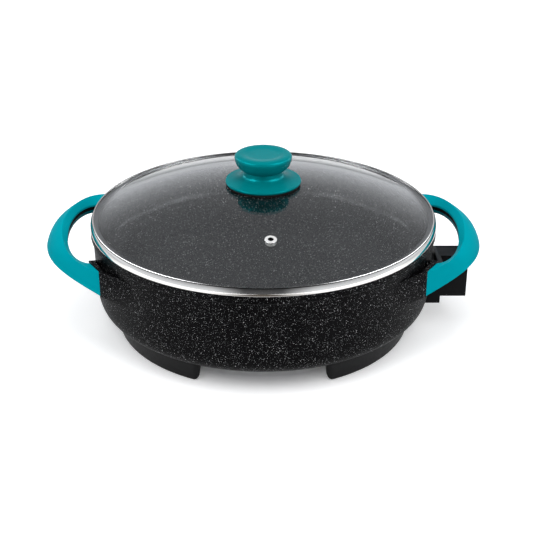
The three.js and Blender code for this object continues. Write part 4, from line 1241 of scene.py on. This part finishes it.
def studio_world():
    """White to the camera. Glass and gloss see it dimmer overhead and in front, with a slanting strip of
    light on each side, and matt surfaces get a plain fill that is stronger from above"""
    to_camera, strip_level, tint = 1.05, 9.0, (0.93, 0.955, 1)
    world = bpy.data.worlds.new("studio")
    bpy.context.scene.world = world
    graph = Graph(world, "Generated")
    x, y, z = graph.axes()
    aside = graph.math("ABSOLUTE", x)
    overhead = graph.ramp(z, 0.08, 0.45, 0.9, 0.42)
    around = graph.math("MAXIMUM", graph.ramp(aside, 0.2, 0.5, 0.12), graph.ramp(y, -0.6, 0.1))
    # How far a direction lies from the middle of the strip, and where the strip fades in and out
    from_strip = 0.1
    for axis, tilt in ((aside, -0.47), (y, 0.5), (z, 0.63)):
        from_strip = graph.math("MULTIPLY_ADD", axis, tilt, from_strip)
    strip = graph.ramp(graph.math("ABSOLUTE", from_strip), 0.15, 0.25, strip_level, 0.0)
    for axis, dark, light in ((y, -0.6, -0.45), (aside, 0.2, 0.5), (aside, 0.9, 0.8), (z, 0.05, 0.2)):
        strip = graph.product(strip, graph.ramp(axis, dark, light))
    mirror_level = graph.math("ADD", graph.product(overhead, around), strip)
    path = graph.add("ShaderNodeLightPath").outputs
    first = graph.math("LESS_THAN", path["Diffuse Depth"], 0.5)
    mirrored = graph.math("MAXIMUM", path["Is Glossy Ray"], path["Is Transmission Ray"])
    mirrored = graph.product(mirrored, first)
    seen = path["Is Camera Ray"]
    rest = graph.math("SUBTRACT", 1.0, graph.math("MAXIMUM", seen, mirrored))
    level = graph.product(rest, graph.ramp(z, 0.0, 0.8, 0.1, 0.62))
    level = graph.math("MULTIPLY_ADD", mirrored, mirror_level, level)
    level = graph.math("MULTIPLY_ADD", seen, to_camera, level)
    background = graph.tree.nodes["Background"]
    background.inputs["Color"].default_value = (*tint, 1)
    graph.link(level, background.inputs["Strength"])


class SKILLET_OT_stage(Operator):
    """Lay the floor, hang the lamps and set the camera"""

    bl_idname = "skillet.stage"
    bl_label = "Stage"

    def execute(self, context):
        bm = bmesh.new()
        bmesh.ops.create_grid(bm, x_segments=1, y_segments=1, size=FLOOR_HALF_WIDTH)
        floor = mesh_object("floor", bm)
        floor.data.materials.append(white_floor())
        studio_world()
        for lamp in LAMPS:
            area_lamp(*lamp)
        camera = bpy.data.cameras.new("camera")
        camera.sensor_width = 36
        camera.lens = CAMERA_LENS
        obj = bpy.data.objects.new("camera", camera)
        context.scene.collection.objects.link(obj)
        obj.location = CAMERA_PLACE
        obj.rotation_euler = (math.radians(90 - CAMERA_ELEVATION), 0, 0)
        context.scene.camera = obj
        context.scene.view_settings.view_transform = "Standard"
        return {"FINISHED"}


OPERATORS = (
    SKILLET_OT_pan,
    SKILLET_OT_skids,
    SKILLET_OT_handles,
    SKILLET_OT_socket,
    SKILLET_OT_underside,
    SKILLET_OT_glass,
    SKILLET_OT_band,
    SKILLET_OT_knob,
    SKILLET_OT_eyelet,
    SKILLET_OT_stage,
)


class SKILLET_PT_panel(Panel):
    """Lists the sizes, the colours and the pieces"""

    bl_idname = "SKILLET_PT_panel"
    bl_label = "Skillet"
    bl_space_type = "VIEW_3D"
    bl_region_type = "UI"
    bl_category = "Skillet"

    def draw(self, context):
        settings = context.scene.skillet
        for title, group in (
            ("Pan", settings.pan),
            ("Lid", settings.lid),
            ("Socket", settings.socket),
            ("Finish", settings.finish),
        ):
            column = self.layout.column(align=True)
            column.label(text=title)
            for key in group.__annotations__:
                column.prop(group, key)
        for operator in OPERATORS:
            self.layout.operator(operator.bl_idname)


CLASSES = (PanSizes, LidSizes, SocketSizes, Finishes, SkilletSettings, *OPERATORS, SKILLET_PT_panel)


def register():
    for cls in CLASSES:
        bpy.utils.register_class(cls)
    bpy.types.Scene.skillet = PointerProperty(type=SkilletSettings)


def unregister():
    del bpy.types.Scene.skillet
    for cls in reversed(CLASSES):
        bpy.utils.unregister_class(cls)


def main():
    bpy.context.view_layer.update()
    register()
    bpy.ops.skillet.pan()
    bpy.ops.skillet.skids()
    bpy.ops.skillet.handles()
    bpy.ops.skillet.socket()
    bpy.ops.skillet.underside()
    bpy.ops.skillet.glass()
    bpy.ops.skillet.band()
    bpy.ops.skillet.knob()
    bpy.ops.skillet.eyelet()
    bpy.ops.skillet.stage()


if __name__ == "__main__":
    main()
